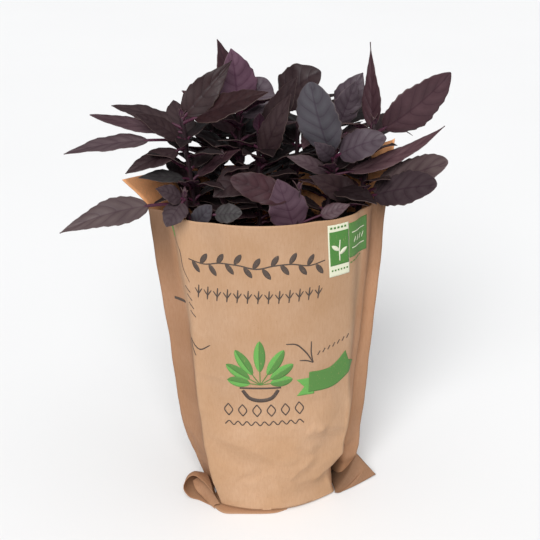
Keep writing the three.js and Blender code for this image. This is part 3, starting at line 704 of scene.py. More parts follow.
def make_bag(material, inner):
    """The paper bag as one folded sheet. Returns its front surface for the print to lie on."""
    grid, s, points, faces = bag_wall()
    grid[..., 2] = np.maximum(grid[..., 2], BOTTOM["lift"])
    points[:, 2] = np.maximum(points[:, 2], BOTTOM["lift"])
    columns = grid.shape[1]
    rings, middle = bag_floor(grid[0])
    count = len(points)
    round_once = np.arange(columns + 1) % columns
    starts = [0] + [count + k * columns for k in range(len(rings))]
    for high, low in zip(starts, starts[1:]):
        faces += faces_between(low + round_once, high + round_once)
    points = np.concatenate([points, *rings, middle[None]])
    last = (starts[-1] + round_once).tolist()
    faces += [[len(points) - 1, after, here] for here, after in zip(last, last[1:])]
    rows = np.linspace(0, RIM["front"], ROWS["body"])
    tint = np.ones((len(points), 3))
    # Painted shade on the wall: its sides, their upper parts, the pocket and the front's upper part are
    # darker and redder.
    wall_tint = np.minimum(painted_shade_tint(bag_painted_shade(rows)), upper_front(rows)[..., None])
    tint[: grid.shape[0] * columns] = wall_tint.reshape(-1, 3)
    bag = new_mesh("paper_bag", points, faces, tint=with_alpha(tint))
    # The inside takes the second material, whose lighter colour is painted light.
    thicken(bag, PAPER).material_offset = 1
    finish_piece(bag, [material, inner], ["kraft_bag"])
    return grid, s


# The left bottom corner is a curled pocket. Each row is a section of it, from the mouth to the back:
# out from the bag over the top, round the outside, and in again along the ground.
EAR_POCKET = (
    (
        (-43, -47, 9), (-50, -41, 15), (-58, -37, 19), (-64, -37, 15.5), (-66.5, -38, 8),
        (-62, -40, 1.8), (-54, -43, 0.6), (-45, -50, 0.5), (-37, -54, 0.5),
    ),
    (
        (-45, -38, 12), (-51, -34, 16), (-58, -31, 18.5), (-63.5, -30, 14.5), (-65, -30, 7.5),
        (-61, -32, 1.8), (-54, -34, 0.6), (-46, -39, 0.5), (-40, -42, 0.5),
    ),
    (
        (-48, -27, 13), (-53, -26, 15), (-58, -25, 15), (-61.5, -24.5, 11), (-62, -24.5, 6),
        (-59, -25, 1.8), (-53, -26, 0.6), (-47, -28, 0.5), (-43, -30, 0.5),
    ),
    (
        (-49, -20, 11), (-52, -18, 9), (-54, -17, 7), (-55.5, -16.5, 5), (-55.5, -16.5, 3),
        (-54, -17, 1.2), (-51, -18, 0.6), (-47, -20, 0.5), (-44, -21, 0.5),
    ),
)
# The ply inside the pocket: its upper line along the bag, and its lower line.
EAR_PLY = (
    ((-48, -24, 11), (-46, -34, 10), (-43, -44, 7.5), (-38, -52, 3.5)),
    ((-54, -25, 11.5), (-52, -34, 9.5), (-48, -43, 6), (-42, -52, 2.2)),
    ((-60, -28, 9), (-57.5, -35, 5.5), (-51, -41.5, 1.6), (-42, -55, 0.8)),
)


def loft(lines, rows, columns):
    """A smooth surface through lines of points."""
    surface = np.array(lines, float)
    for count in (columns, rows):
        knots = np.linspace(0, 1, surface.shape[1])
        surface = smooth_between(np.linspace(0, 1, count), knots, surface.transpose(1, 0, 2))
    return surface


def paper_sheet(name, lines, rows, columns, dark, material):
    """A loose part of the bag: thin paper through lines of points, with painted shade as dark as given at its
    first and its last line.
    """
    surface = loft(lines, rows, columns)
    surface[..., 2] = np.maximum(surface[..., 2], PAPER)
    tint = with_alpha(painted_shade_tint(np.repeat(np.linspace(*dark, rows), columns)))
    sheet = new_mesh(name, surface.reshape(-1, 3), grid_faces(rows, columns), tint=tint)
    thicken(sheet, PAPER, 0)
    finish_piece(sheet, [material])


# The right bottom corner is a flap: from its fold by the bag to its lower edge, which ends in a tip.
EAR_FLAP = (
    ((50, -32.5, 1), (54, -27, 3.5), (59.5, -20, 7.5), (64, -14, 14), (68, -9, 22)),
    ((52, -33, 0.9), (58, -27.5, 1.6), (65, -20, 4.5), (69, -14, 10.5), (71, -9.5, 18)),
    ((54, -32.5, 0.8), (62, -26, 2.2), (70, -18.5, 6.5), (74, -13, 9), (75, -9, 13)),
    ((55.5, -31, 0.7), (65, -24, 0.9), (75, -15, 0.9), (80, -11, 1.6), (84, -7, 1.2)),
)
EAR_FLAP_BACK = (
    ((67.5, -8, 22), (63, -12, 12), (58, -16, 5), (54, -22, 1)),
    ((71.5, -7.5, 17), (68, -10.5, 9), (64, -14, 4), (58, -22, 0.8)),
    ((76, -7, 11), (74, -9.5, 6), (70, -13.5, 2.5), (62, -22, 0.7)),
    ((84, -6.6, 1), (80, -10, 0.9), (75, -14.6, 0.7), (65, -23.6, 0.6)),
)

# The flap's paper turns back into the pocket beside it.
EAR_RECESS = (
    ((50.5, -31.5, 0.9), (54.4, -26.5, 3.3), (59.9, -19.5, 7.3), (64.4, -13.6, 13.8), (68.2, -8.8, 21.6)),
    ((49, -20, 0.9), (52, -16, 3.3), (56.5, -10, 7.3), (61, -5, 13.8), (65.5, -1, 21.6)),
    ((46, -8, 0.9), (49, -5, 3.3), (53, 0, 7.3), (58, 4, 13.8), (63, 7, 21.6)),
)


# The pasted bottom flap comes out from under the front: its outer edge, and its edge under the bag.
BOTTOM_FLAP = (
    (
        (-47, -42, 0.5), (-43, -51, 0.5), (-35, -60, 0.4), (-22, -61, 0.4),
        (-5, -61, 0.4), (5, -59.5, 0.4), (13, -55, 0.4),
    ),
    (
        (-44, -36, 1.4), (-39, -43, 1.4), (-31, -50, 1.2), (-21, -53, 1.0),
        (-6, -54, 1.0), (5, -54, 1.0), (14, -50, 0.9),
    ),
    (
        (-38, -30, 1.6), (-33, -35, 1.6), (-26, -41, 1.4), (-18, -44, 1.2),
        (-6, -45, 1.2), (3, -45, 1.2), (10, -42, 1.2),
    ),
)
# Loose parts of the bag: (name, lines, rows, columns, painted shade at the first and the last line).
# The ears are darker with painted shade where the bag shades them, the recess most, and the bottom flap is
# darker where it goes under the front.
LOOSE_PAPER = (
    ("ear_pocket", EAR_POCKET, 30, 64, (0.2, 0.2)),
    ("ear_ply", EAR_PLY, 16, 30, (0.4, 0.2)),
    ("ear_flap", EAR_FLAP, 26, 34, (0.6, 0.33)),
    ("ear_flap_back", EAR_FLAP_BACK, 26, 34, (0.5, 0.3)),
    ("ear_recess", EAR_RECESS, 10, 24, (0.6, 0.8)),
    ("bottom_flap", BOTTOM_FLAP, 12, 60, (0.08, 0.5)),
)


def make_ears(material):
    for name, lines, rows, columns, dark in LOOSE_PAPER:
        paper_sheet(name, lines, rows, columns, dark, material)


# ---------- the print ----------

# A place on the paper is (distance along the outline from the middle of the front, height).


class Paper:
    """Finds points and normals on the bag's outside from places on the paper."""

    REACH = 112
    STEP = 0.5
    NEAR = 0.6

    def __init__(self, grid, s):
        turn = COLUMNS["side"] + COLUMNS["back"] // 2
        grid, s = np.roll(grid, turn, axis=1), np.roll(s, turn, axis=1)
        self.row_step = RIM["front"] / (ROWS["body"] - 1)
        even = np.arange(-self.REACH, self.REACH + self.STEP, self.STEP)
        inside = slice(2, -2)
        rows = [
            np.stack([np.interp(even, s[k][inside], grid[k][inside, axis]) for axis in range(3)], -1)
            for k in range(len(grid))
        ]
        self.lattice = np.array(rows)

    def point(self, s, z):
        across = np.clip((np.ravel(s) + self.REACH) / self.STEP, 0, self.lattice.shape[1] - 1.001)
        up = np.clip(np.ravel(z) / self.row_step, 0, self.lattice.shape[0] - 1.001)
        i, k = across.astype(int), up.astype(int)
        t, u = (across - i)[:, None], (up - k)[:, None]
        low = self.lattice[k, i] * (1 - t) + self.lattice[k, i + 1] * t
        high = self.lattice[k + 1, i] * (1 - t) + self.lattice[k + 1, i + 1] * t
        return low * (1 - u) + high * u

    def lifted(self, s, z, lift):
        """Points at a small height over the paper."""
        here = self.point(s, z)
        along = self.point(s + self.NEAR, z) - self.point(s - self.NEAR, z)
        rise = self.point(s, z + self.NEAR) - self.point(s, z - self.NEAR)
        normal = np.cross(along, rise)
        normal /= np.linalg.norm(normal, axis=1, keepdims=True)
        return here + normal * lift


STROKE_STEP = 1.1
INK = 0.06


def curve_through(points):
    """A smooth line through a few places, as points about a step apart."""
    points = np.array(points, float)
    gaps = np.linalg.norm(np.diff(points, axis=0), axis=1)
    knots = np.concatenate([[0], np.cumsum(gaps)])
    count = max(3, int(knots[-1] / STROKE_STEP) + 2)
    if len(points) == 2:
        return points[0] + (points[1] - points[0]) * np.linspace(0, 1, count)[:, None]
    return smooth_between(np.linspace(0, knots[-1], count), knots, points)


def stroke(points, width, taper=0.0, notch=(0, 0)):
    """A strip of ink along a line. taper thins its ends, and notch cuts a V into its start and end."""
    line = curve_through(points)
    ahead = np.gradient(line, axis=0)
    ahead /= np.linalg.norm(ahead, axis=1, keepdims=True)
    side = np.stack([-ahead[:, 1], ahead[:, 0]], -1)
    t = np.linspace(0, 1, len(line))
    half = width / 2 * (1 - taper * (1 - np.sin(np.pi * t) ** 0.6))
    half = np.maximum(half, 0.08)
    lanes = max(2, int(width / STROKE_STEP) + 1)
    q = np.linspace(-1, 1, lanes)
    places = line[:, None] + side[:, None] * (half[:, None] * q)[..., None]
    shift = notch[0] * (1 - np.abs(q)) * (1 - t)[:, None] - notch[1] * (1 - np.abs(q)) * t[:, None]
    return places + ahead[:, None] * shift[..., None]


def leaf_line(root, angle, end, start=0.0):
    """The line of a printed leaf, between two distances from a root, at an angle in degrees."""
    turn = math.radians(angle)
    return [(root[0] + math.cos(turn) * far, root[1] + math.sin(turn) * far) for far in (start, end)]


def left_half(places):
    """The shaded half of a printed leaf."""
    return places[:, : places.shape[1] // 2 + 1]


def repeat(count, step, *lines):
    """Strokes of lines that are repeated, each time a step further along and up the paper."""
    return [
        stroke([(s + k * step[0], z + k * step[1]) for s, z in points], *look)
        for k in range(count)
        for points, *look in lines
    ]


def strokes_of(*lines):
    return repeat(1, (0, 0), *lines)


def print_on(paper, name, strokes, lift, material):
    """Prints strokes on the paper as one thin piece of ink."""
    parts = Parts()
    for places in strokes:
        rows, lanes = places.shape[:2]
        flat = places.reshape(-1, 2)
        parts.add(paper.lifted(flat[:, 0], flat[:, 1], lift), grid_faces(rows, lanes))
    ink = parts.mesh(name)
    thicken(ink, INK, 0)
    finish_piece(ink, [material])


# A line of ink is (its places, its width, how much its ends are thinned, the V cut into its ends).
SPRIG = (
    ([(-54, 178), (-53, 188)], 1.1, 0.4),
    ([(-53.6, 181), (-50.6, 185.6)], 0.9, 0.5),
    ([(-53.6, 181), (-56.4, 185.2)], 0.9, 0.5),
)
BOWL = (
    ([(-22, 108), (-17, 101.5), (-9, 99.5), (-1, 101.5), (4, 108)], 3.0, 0.2),
    ([(-24, 110), (6, 110)], 1.4),
    ([(-36 + 3.2 * k, 81.6 if k % 2 else 78.4) for k in range(19)], 0.9),
)
LOZENGE = (
    ([(-33, 86), (-30, 91), (-33, 96)], 0.9),
    ([(-33, 86), (-36, 91), (-33, 96)], 0.9),
)
PEN_LINES = (
    ([(10, 145.5), (17, 144.5), (24, 138), (30.5, 127.5)], 1.1, 0.4),
    ([(20, 131), (25.5, 130), (30.5, 127.5)], 1.0, 0.3),
    ([(29, 145), (29, 135), (30.5, 127.5)], 1.0, 0.3),
    ([(-45, 142), (-53.5, 137), (-62, 144)], 1.0, 0.4),
    ([(-57, 131), (-60, 137), (-62, 144)], 0.9, 0.3),
    ([(-76, 220), (-68, 213), (-65, 196), (-61, 188)], 0.6, 0.5),
    ([(-84, 168), (-72, 168)], 2.2, 0.2),
)
LABEL_LINES = (
    ([(52.4, 203), (52.4, 212), (53, 219)], 1.1, 0.3),
    (leaf_line((52.4, 208), 35, 8), 3.2, 1.0),
    (leaf_line((52.4, 211), 145, 8), 3.2, 1.0),
    ([(64, 222), (81, 222)], 0.7),
    ([(64, 210), (81, 210)], 0.7),
)
RIBBON = ([(27, 111.5), (38, 111), (47, 112), (56, 117), (64, 124)], 17, 0, (0, 3.5))
RIBBON_TAIL = ([(17.5, 108), (24, 108), (31, 108)], 14, 0, (6, 0))
GARLAND = {"from": -60, "to": 40, "height": 206, "swing": 1.6, "pace": 0.16}
GARLAND_LEAF = {"count": 15, "first": 3, "step": 6.4, "angle": 56, "length": 9.6, "width": 4.0}
PALMETTE = {"root": (-9, 113), "leaf_from": 0.3, "stalk_to": 0.4, "width": 8.4}
PALMETTE_LEAVES = ((8, 24), (33, 29), (58, 33), (90, 36), (122, 33), (147, 29), (172, 24))  # angle, length


def garland():
    """A leafy twig across the top of the front."""

    def on_twig(s):
        return s, GARLAND["height"] + GARLAND["swing"] * math.sin(GARLAND["pace"] * s)

    leaf = GARLAND_LEAF
    left = GARLAND["from"]
    twig = [on_twig(s) for s in np.linspace(left, GARLAND["to"], 9)]
    lines = [(twig, 1.0, 0.3)]
    for k in range(leaf["count"]):
        root = on_twig(left + leaf["first"] + k * leaf["step"])
        angle = leaf["angle"] if k % 2 else -leaf["angle"]
        lines.append((leaf_line(root, angle, leaf["length"]), leaf["width"], 1.0))
    return strokes_of(*lines)


def palmette():
    """The leaves of a fan over the middle of the front, and their stalks."""
    leaves, stalks = [], []
    for angle, length in PALMETTE_LEAVES:
        line = leaf_line(PALMETTE["root"], angle, length, length * PALMETTE["leaf_from"])
        leaves.append(stroke(line, PALMETTE["width"], 1.0))
        stalks.append(stroke(leaf_line(PALMETTE["root"], angle, length * PALMETTE["stalk_to"]), 0.7))
    return leaves, stalks


INKS = {
    "dark": "463a33",
    "green": "4a7736",
    "light_green": "5c9746",
    "pale": "cfd0b8",
    "label_green": "427630",
}


def make_print(paper):
    """Generic ornaments in dark brown, greens and off-white: (piece, ink, height over the paper, strokes)."""
    inks = {name: ink_material("ink_" + name, code) for name, code in INKS.items()}
    leaves, stalks = palmette()
    pen = repeat(7, (4.2, 1.2), ([(34, 133), (36, 136)], 0.8))
    pen += repeat(4, (1.6, -6), ([(-66, 184), (-61, 180)], 0.7))
    label_marks = repeat(4, (4, 0), ([(66, 214), (68, 218)], 0.9, 0.3))
    small_marks = repeat(5, (3, 0), ([(45, 228.6), (46.8, 228.6)], 1.5))
    small_marks += repeat(6, (2.6, 0), ([(45, 196.6), (46.4, 196.6)], 1.3))
    small_marks += repeat(5, (3.2, 0.5), ([(62, 199), (64, 199.3)], 1.0))
    for name, ink, lift, strokes in (
        ("garland", "dark", 0.10, garland()),
        ("sprigs", "dark", 0.10, repeat(13, (7.3, 0), *SPRIG)),
        ("palmette", "light_green", 0.12, leaves),
        ("palmette_shade", "green", 0.17, [left_half(leaf) for leaf in leaves]),
        ("palmette_stalks", "green", 0.14, stalks),
        ("bowl", "dark", 0.10, strokes_of(*BOWL) + repeat(6, (10.4, 0), *LOZENGE)),
        ("pen_marks", "dark", 0.10, strokes_of(*PEN_LINES) + pen),
        ("ribbon_tail", "light_green", 0.10, strokes_of(RIBBON_TAIL)),
        ("ribbon", "green", 0.16, strokes_of(RIBBON)),
        ("label_frame", "pale", 0.10, strokes_of(([(43, 211.5), (61, 211.5)], 39))),
        ("label_panels", "label_green", 0.16, strokes_of(([(44.2, 213), (60.6, 213)], 25.5))),
        ("label_side", "green", 0.12, strokes_of(([(61.2, 216.2), (84, 216.2)], 26.5))),
        ("label_marks", "pale", 0.22, strokes_of(*LABEL_LINES) + label_marks),
        ("label_small_marks", "green", 0.16, small_marks),
        ("side_mark", "light_green", 0.12, strokes_of(([(-78, 226), (-74, 219)], 3.0))),
    ):
        print_on(paper, "print_" + name, strokes, lift, inks[ink])


# ---------- the pot and its soil ----------

POT = {"centre": (2, -3), "foot": 1.3, "height": 97, "foot_radius": 37, "mouth_radius": 50.5}
POT_LIP = {"radius": 52.5, "height": 9, "curl": 1.4, "wall": 0.9}
SOIL = {"depth": 84, "dome": 3, "gap": 1.7}
SOIL_TOP = POT["foot"] + SOIL["gap"] + SOIL["depth"]
ROUND = 96
SOIL_MESH = {"rings": 46, "sides": 132, "inset": 2.2, "skirt": 20, "seed": 7}
CLODS = ((4, 1.2, 1), (1.7, 0.7, 5))  # (size, height, layer of noise)
CRUMBS = {"count": 420, "sizes": (0.6, 1.9), "perlite_every": 9, "perlite_sizes": (1.0, 2.2)}


def lathe(profile, centre, foot):
    """A turned form from (radius, height) rings."""
    angles = np.linspace(0, 2 * math.pi, ROUND, endpoint=False)
    points = []
    for r, height in profile:
        ring = [r * np.cos(angles), r * np.sin(angles), np.full(ROUND, float(height))]
        points.append(np.stack(ring, -1) + (*centre, foot))
    return np.concatenate(points), grid_faces(len(profile), ROUND, closed=True)


def pot_radius(height):
    share = height / POT["height"]
    return POT["foot_radius"] + (POT["mouth_radius"] - POT["foot_radius"]) * share


def make_pot(material):
    """The nursery pot: a tapered wall with a stepped, rolled lip."""
    height, lip, wall = POT["height"], POT_LIP["height"], POT_LIP["wall"]
    outside = [(pot_radius(h), h) for h in np.linspace(2, height - lip - 1, 14)]
    step = [(POT_LIP["radius"] - 0.6, height - lip), (POT_LIP["radius"], height - lip + 0.6)]
    curl = POT_LIP["curl"]
    edge = [
        (POT_LIP["radius"] - curl * (1 - math.cos(a)), height - curl + curl * math.sin(a))
        for a in np.linspace(0, math.pi, 9)
    ]
    inside = [(pot_radius(h) - wall, h) for h in np.linspace(height - lip, wall, 10)]
    profile = [(0.5, 0), (POT["foot_radius"] - 2, 0), (POT["foot_radius"], 1), *outside, *step, *edge]
    points, faces = lathe([*profile, *inside, (0.5, wall)], POT["centre"], POT["foot"])
    pot = new_mesh("plant_pot", points, faces)
    bevel = pot.modifiers.new("soft_edges", "WEIGHTED_NORMAL")
    bevel.keep_sharp = True
    finish_piece(pot, [material], ["nursery_pot"])


def make_soil(material, perlite):
    """Domed compost with crumbs and a few grains of perlite on it."""
    draw = random.Random(SOIL_MESH["seed"])
    radius = pot_radius(SOIL["depth"] + SOIL["gap"]) - SOIL_MESH["inset"]
    rings, sides = SOIL_MESH["rings"], SOIL_MESH["sides"]
    points = []
    for r in np.linspace(0.02, 1, rings):
        for a in np.linspace(0, 2 * math.pi, sides, endpoint=False):
            x, y = r * radius * math.cos(a), r * radius * math.sin(a)
            places = [(high, Vector((x / size, y / size, layer))) for size, high, layer in CLODS]
            rough = sum(high * noise.noise(place) for high, place in places)
            rough *= 1 - 0.8 * r**8
            lift = SOIL["dome"] * (1 - r * r)
            points.append((x + POT["centre"][0], y + POT["centre"][1], SOIL_TOP + lift + rough - 0.8))
    parts = Parts()
    parts.add(points, grid_faces(rings, sides, closed=True))
    lower = np.array(points[-sides:])
    skirt = np.concatenate([lower, lower - (0, 0, SOIL_MESH["skirt"])])
    parts.add(skirt, [face[::-1] for face in grid_faces(2, sides, closed=True)])
    for k in range(CRUMBS["count"]):
        perlite_grain = k % CRUMBS["perlite_every"] == 0
        r, a = radius * 0.97 * math.sqrt(draw.random()), draw.uniform(0, 2 * math.pi)
        x, y = r * math.cos(a), r * math.sin(a)
        size = draw.uniform(*CRUMBS["perlite_sizes" if perlite_grain else "sizes"])
        z = SOIL_TOP + SOIL["dome"] * (1 - (r / radius) ** 2) + size * 0.2 - 0.6
        centre = np.array([x + POT["centre"][0], y + POT["centre"][1], z])
        add_crumb(parts, centre, size, draw, int(perlite_grain))
    soil = parts.mesh("compost")
    finish_piece(soil, [material, perlite], ["soil"])


def add_crumb(parts, centre, size, draw, slot):
    """One irregular lump."""
    rows, sides = 5, 8
    points = []
    for i in range(rows):
        lat = math.pi * (i + 0.25) / (rows - 0.5)
        for j in range(sides):
            lon = 2 * math.pi * j / sides
            r = size * draw.uniform(0.75, 1.1)
            ring = r * math.sin(lat)
            points.append(centre + (ring * math.cos(lon), ring * math.sin(lon), r * 0.8 * math.cos(lat)))
    parts.add(points, [face[::-1] for face in capped_faces(rows, sides)], slot=slot)


# ---------- where the stems and leaves stand ----------

STEM = {"foot_radius": 2.3, "top_radius": 1.3, "lean_power": 0.8, "hole_depth": 12}
BLADE = {"fold": 9, "rise": 0.6}
USUAL_LEAF = {"stalk": 0.14, "fall": 1.05}  # the stalk's share of the length, and how the blade narrows
VEIN = {"pairs": 5.6, "lean": 0.24, "curve": 1.25, "stagger": 0.22}
GROW = {
    "tries": 90,
    "turn": 14,
    "turn_step": 1.5,
    "node_step": 0.1,
    "shrink_step": 0.004,
    "rise": 16,
    "rise_range": 15,
    "length_range": 0.12,
    "bend": 37,
    "bend_range": 15,
    "tilt": 0.25,
    "slimness": 0.42,
}
CLEAR = {"leaf": 4.6, "own_leaf": 4.5, "stem": 4.2, "bag": 6.5}
CROWN = {"length": 20, "width": 9, "rise": 62, "face_up": 0.6, "bend": 30, "first_turn": 35, "next_turn": 80}
FIRST_SEED = 1000
TONE_SEED = 11
LEAF_SEED = 50

# Leaf colours: upper sides.
# The tones are partly the leaves' own colours and partly painted light: 'umber' and 'claret' are darker
# copies of 'black' and 'wine', painted shade for a few leaves that face away from the light, 'shadow' is
# painted shade for leaves deep in the plant, and the blue-grey of 'slate' is partly a painted reflection of
# the sky.
TONES = {
    "black": "362829",
    "shadow": "211617",
    "umber": "2b1718",
    "wine": "483136",
    "claret": "3e2328",
    "plum": "6d5060",
    "mauve": "4f3b45",
    "rose": "533d40",
    "rosewood": "4c373c",
    "dusk": "43373a",
    "slate": "464449",
    "ash": "4c4248",
    "olive": "544746",
    "bark": "4d3f42",
    "moss": "3a3938",
}
UNDERSIDE = "4a303e"
STALK_TONE = "451d31"
STEM_TONE = "2b1d22"

# A stem is (name, foot on the soil, tip, pairs of leaves that follow a rule, listed leaves).
# A listed leaf is (height on the stem, tip of the leaf, blade width, where its upper side faces,
# bend in degrees, tone), and what is its own of USUAL_LEAF. A pair is (height on the stem, compass
# direction, leaf length).
STEM_ROWS = (
    ("stem_left", (-34, -8), (-61, -22, 298), ((250, 200, 46), (232, 110, 44)), (
        (297, (-26, -12, 336), 22, (-0.2, -0.9, 0.2), 10, "umber", {"stalk": 0.06, "fall": 1.3}),
        (294, (-1, -32, 319), 24, (0.1, -0.5, 0.9), 8, "umber"),
        (290, (-112, -4, 302), 19, (0, -0.25, 1), 18, "black"),
        (287, (-124, -28, 302), 12, (0.1, -0.5, 0.8), -10, "rosewood", {"fall": 0.85}),
        (280, (-92, -37, 305), 15, (0.2, -0.7, 0.7), 20, "black"),
        (281, (-141, -45, 279), 18, (0.15, -0.3, 1), 24, "bark", {"stalk": 0.31, "fall": 1.15}),
        (276, (-99, -48, 266), 17, (-0.1, -0.5, 0.9), 16, "black"),
        (276, (-70, 22, 299), 22, (-0.2, 0.3, 1), 26, "black"),
        (252, (-90, -48, 263), 13, (0, -0.6, 0.9), 20, "moss"),
    )),
    ("stem_front_left", (-28, -28), (-59, -47, 248), (), (
        (246, (-77, -62, 260), 14, (-0.1, -0.8, 0.7), 24, "dusk"),
        (247, (-70, -71, 236), 17, (-0.2, -1, 0.4), 22, "dusk", {"fall": 0.8}),
        (243, (-142, -76, 233), 22, (0.1, -0.6, 0.8), 54, "olive", {"stalk": 0.31, "fall": 1.3}),
        (232, (-19, -61, 242), 15, (0, -0.8, 0.7), 24, "moss", {"stalk": 0.52, "fall": 0.7}),
        (224, (-40, -57, 246), 14, (0.2, -0.8, 0.6), 20, "slate", {"fall": 0.7}),
    )),
    ("stem_back_left", (-14, 8), (-23, 10, 300),
     ((270, 150, 60), (252, 70, 62), (236, 150, 58), (218, 60, 50)), (
        (292, (-37, 14, 345), 22, (0.8, -0.7, 0.1), 10, "wine"),
        (290, (-27, 2, 341), 33, (0.5, -1, 0.2), 14, "plum"),
        (284, (-3, 26, 314), 34, (-0.2, -0.8, 0.8), 24, "ash", {"fall": 0.7}),
    )),
    ("stem_middle", (-6, -12), (-8, -6, 282), ((256, 20, 50), (236, 100, 52), (218, 10, 44)), (
        (258, (14, -30, 317), 20, (-0.6, -1, 0.15), 16, "black"),
        (268, (19, -16, 326), 22, (-0.75, -0.9, 0.2), 16, "black"),
        (252, (-40, -34, 244), 28, (0, -0.7, 0.8), 40, "black"),
    )),
    ("stem_right_middle", (22, -16), (45, -28, 272), ((250, 90, 50), (230, 0, 44)), (
        (268, (27, -36, 327), 31, (-0.45, -1, 0.35), 34, "slate", {"fall": 0.65}),
        (271, (79, -46, 291), 23, (-0.1, -1, 0.7), 54, "ash", {"fall": 0.7}),
        (269, (30, -48, 288), 13, (-0.4, -0.9, 0.6), 20, "ash"),
        (258, (12, -32, 273), 13, (-0.2, -0.6, 0.9), 20, "bark"),
        (258, (119, -38, 297), 13, (-0.25, -0.7, 1), -50, "rose", {"fall": 1.2}),
    )),
    ("stem_right", (38, -12), (73, -14, 291), ((240, 80, 46),), (
        (279, (69, -4, 347), 15, (-0.6, -1, 0.1), -10, "wine", {"fall": 1.8}),
        (283, (125, -14, 328), 31, (0.3, -1, -0.1), 40, "wine", {"fall": 0.85}),
        (239, (121, -50, 275), 27, (0, -0.7, 0.8), 10, "olive", {"fall": 0.6}),
        (235, (112, -66, 264), 27, (0, -0.8, 0.7), 20, "dusk", {"stalk": 0.22, "fall": 0.6}),
        (237, (27, -48, 264), 19, (0, -1, 0.3), 16, "black"),
    )),
    ("stem_front", (10, -34), (20, -54, 256), (), (
        (247, (-27, -58, 266), 20, (0.1, -0.9, 0.4), 10, "claret", {"fall": 0.65}),
        (222, (5, -57, 265), 28, (0.1, -1, 0.2), 14, "mauve", {"fall": 0.95}),
        (230, (55, -52, 245), 11, (0, -0.9, 0.7), 10, "rosewood", {"stalk": 0.45}),
    )),
    ("stem_back_right", (30, 18), (50, 22, 290),
     ((272, 70, 64), (256, 150, 64), (240, 60, 58), (222, 150, 50)), (
        (284, (67, 26, 318), 24, (-0.5, -1, 0.5), 30, "ash"),
        (276, (61, 16, 314), 20, (0.1, -1, 0.3), 14, "ash"),
        (268, (106, 32, 269), 14, (0, 0.1, 1), 76, "black"),
    )),
    ("stem_back", (4, 28), (8, 36, 288),
     ((284, 20, 52), (270, 100, 64), (254, 20, 64), (238, 100, 58), (222, 20, 50)), (
        (287, (37, 30, 318), 36, (-0.5, -0.8, 0.7), 70, "black", {"fall": 0.8}),
    )),
    ("stem_far_left", (-24, 22), (-42, 28, 282),
     ((278, 100, 52), (264, 190, 62), (250, 100, 62), (236, 190, 58), (220, 100, 50)), ()),
    ("stem_centre", (12, 2), (20, 4, 282), ((276, 130, 52), (258, 40, 58), (240, 130, 54)), ()),
    ("stem_inner_left", (-18, -14), (-34, -12, 264), ((258, 60, 50), (242, 150, 48), (224, 60, 42)), ()),
)
STEMS = [dict(zip(("name", "foot", "tip", "pairs", "leaves"), row)) for row in STEM_ROWS]



def unit(v):
    return v / np.linalg.norm(v)


def stem_point(stem, z):
    """The point of a stem at a height. Below the soil's top it stands straight."""
    foot, tip = np.array(stem["foot"], float), np.array(stem["tip"], float)
    share = max(z - SOIL_TOP, 0) / (tip[2] - SOIL_TOP)
    plan = foot + (tip[:2] - foot) * share ** STEM["lean_power"]
    return np.array([plan[0], plan[1], z])


def leaf_arc(root, tip, face, bend):
    """The arc from a leaf's root to its tip, which bends away from its upper side."""
    run = tip - root
    along = unit(run)
    normal = unit(face - along * face.dot(along))
    length = np.linalg.norm(run) * (bend / 2) / math.sin(bend / 2)
    return {
        "root": root,
        "along": along,
        "normal": normal,
        "side": np.cross(along, normal),
        "bend": bend,
        "length": length,
    }


def on_arc(arc, s):
    """Points, directions and upward normals of an arc at shares s of its length."""
    s = np.atleast_1d(np.asarray(s, float))[:, None]
    bend, along, normal = arc["bend"], arc["along"], arc["normal"]
    turn = bend / 2 - bend * s
    ahead = (math.sin(bend / 2) - np.sin(turn)) / bend
    lift = (np.cos(turn) - math.cos(bend / 2)) / bend
    point = arc["root"] + arc["length"] * (along * ahead + normal * lift)
    return point, along * np.cos(turn) + normal * np.sin(turn), normal * np.cos(turn) - along * np.sin(turn)


def blade_share(leaf, x):
    """Half width of a blade, as a share of its widest, from its base (0) to its tip (1)."""
    rise, fall = BLADE["rise"], leaf["fall"]
    peak = rise / (rise + fall)
    return x**rise * (1 - x) ** fall / (peak**rise * (1 - peak) ** fall)


def make_leaf(stem, height, tip, width, face, bend, tone, own=None):
    root = stem_point(stem, min(height, stem["tip"][2] - 1))
    arc = leaf_arc(root, np.array(tip, float), np.array(face, float), math.radians(bend))
    return {"stem": stem["name"], "width": width, "arc": arc, "tone": tone, **USUAL_LEAF, **(own or {})}


DRAW = {"factor": 1664525, "added": 1013904223, "limit": 2**32}


def drawer(seed):
    """Seeded draws from 0 to 1, by the same rule as the solids'."""
    state = seed
    while True:
        state = (state * DRAW["factor"] + DRAW["added"]) % DRAW["limit"]
        yield state / DRAW["limit"]


def probes(leaf):
    """Points all over a leaf, to see whether it comes near another."""
    fold = math.radians(BLADE["fold"])
    arc, stalk = leaf["arc"], leaf["stalk"]
    points = []
    for x in np.linspace(0, 1, PROBES["rows"]):
        point, _, up = on_arc(arc, stalk + x * (1 - stalk))
        for q in PROBES["across"]:
            half = blade_share(leaf, x) * leaf["width"] / 2 * q
            points.append(point[0] + arc["side"] * half * math.cos(fold) + up[0] * abs(half) * math.sin(fold))
    points += [on_arc(arc, share)[0][0] for share in (stalk / 2, stalk)]
    return np.array(points)


class Cloud:
    """Points, with the box that holds them."""

    def __init__(self, points):
        self.points = np.asarray(points, float)
        self.low, self.high = self.points.min(axis=0), self.points.max(axis=0)

    def near(self, other, distance):
        """Whether any of the points comes nearer than a distance to another cloud's."""
        if ((self.low - distance > other.high) | (other.low - distance > self.high)).any():
            return False
        gaps = ((self.points[:, None] - other.points[None]) ** 2).sum(axis=2)
        return bool((gaps < distance * distance).any())


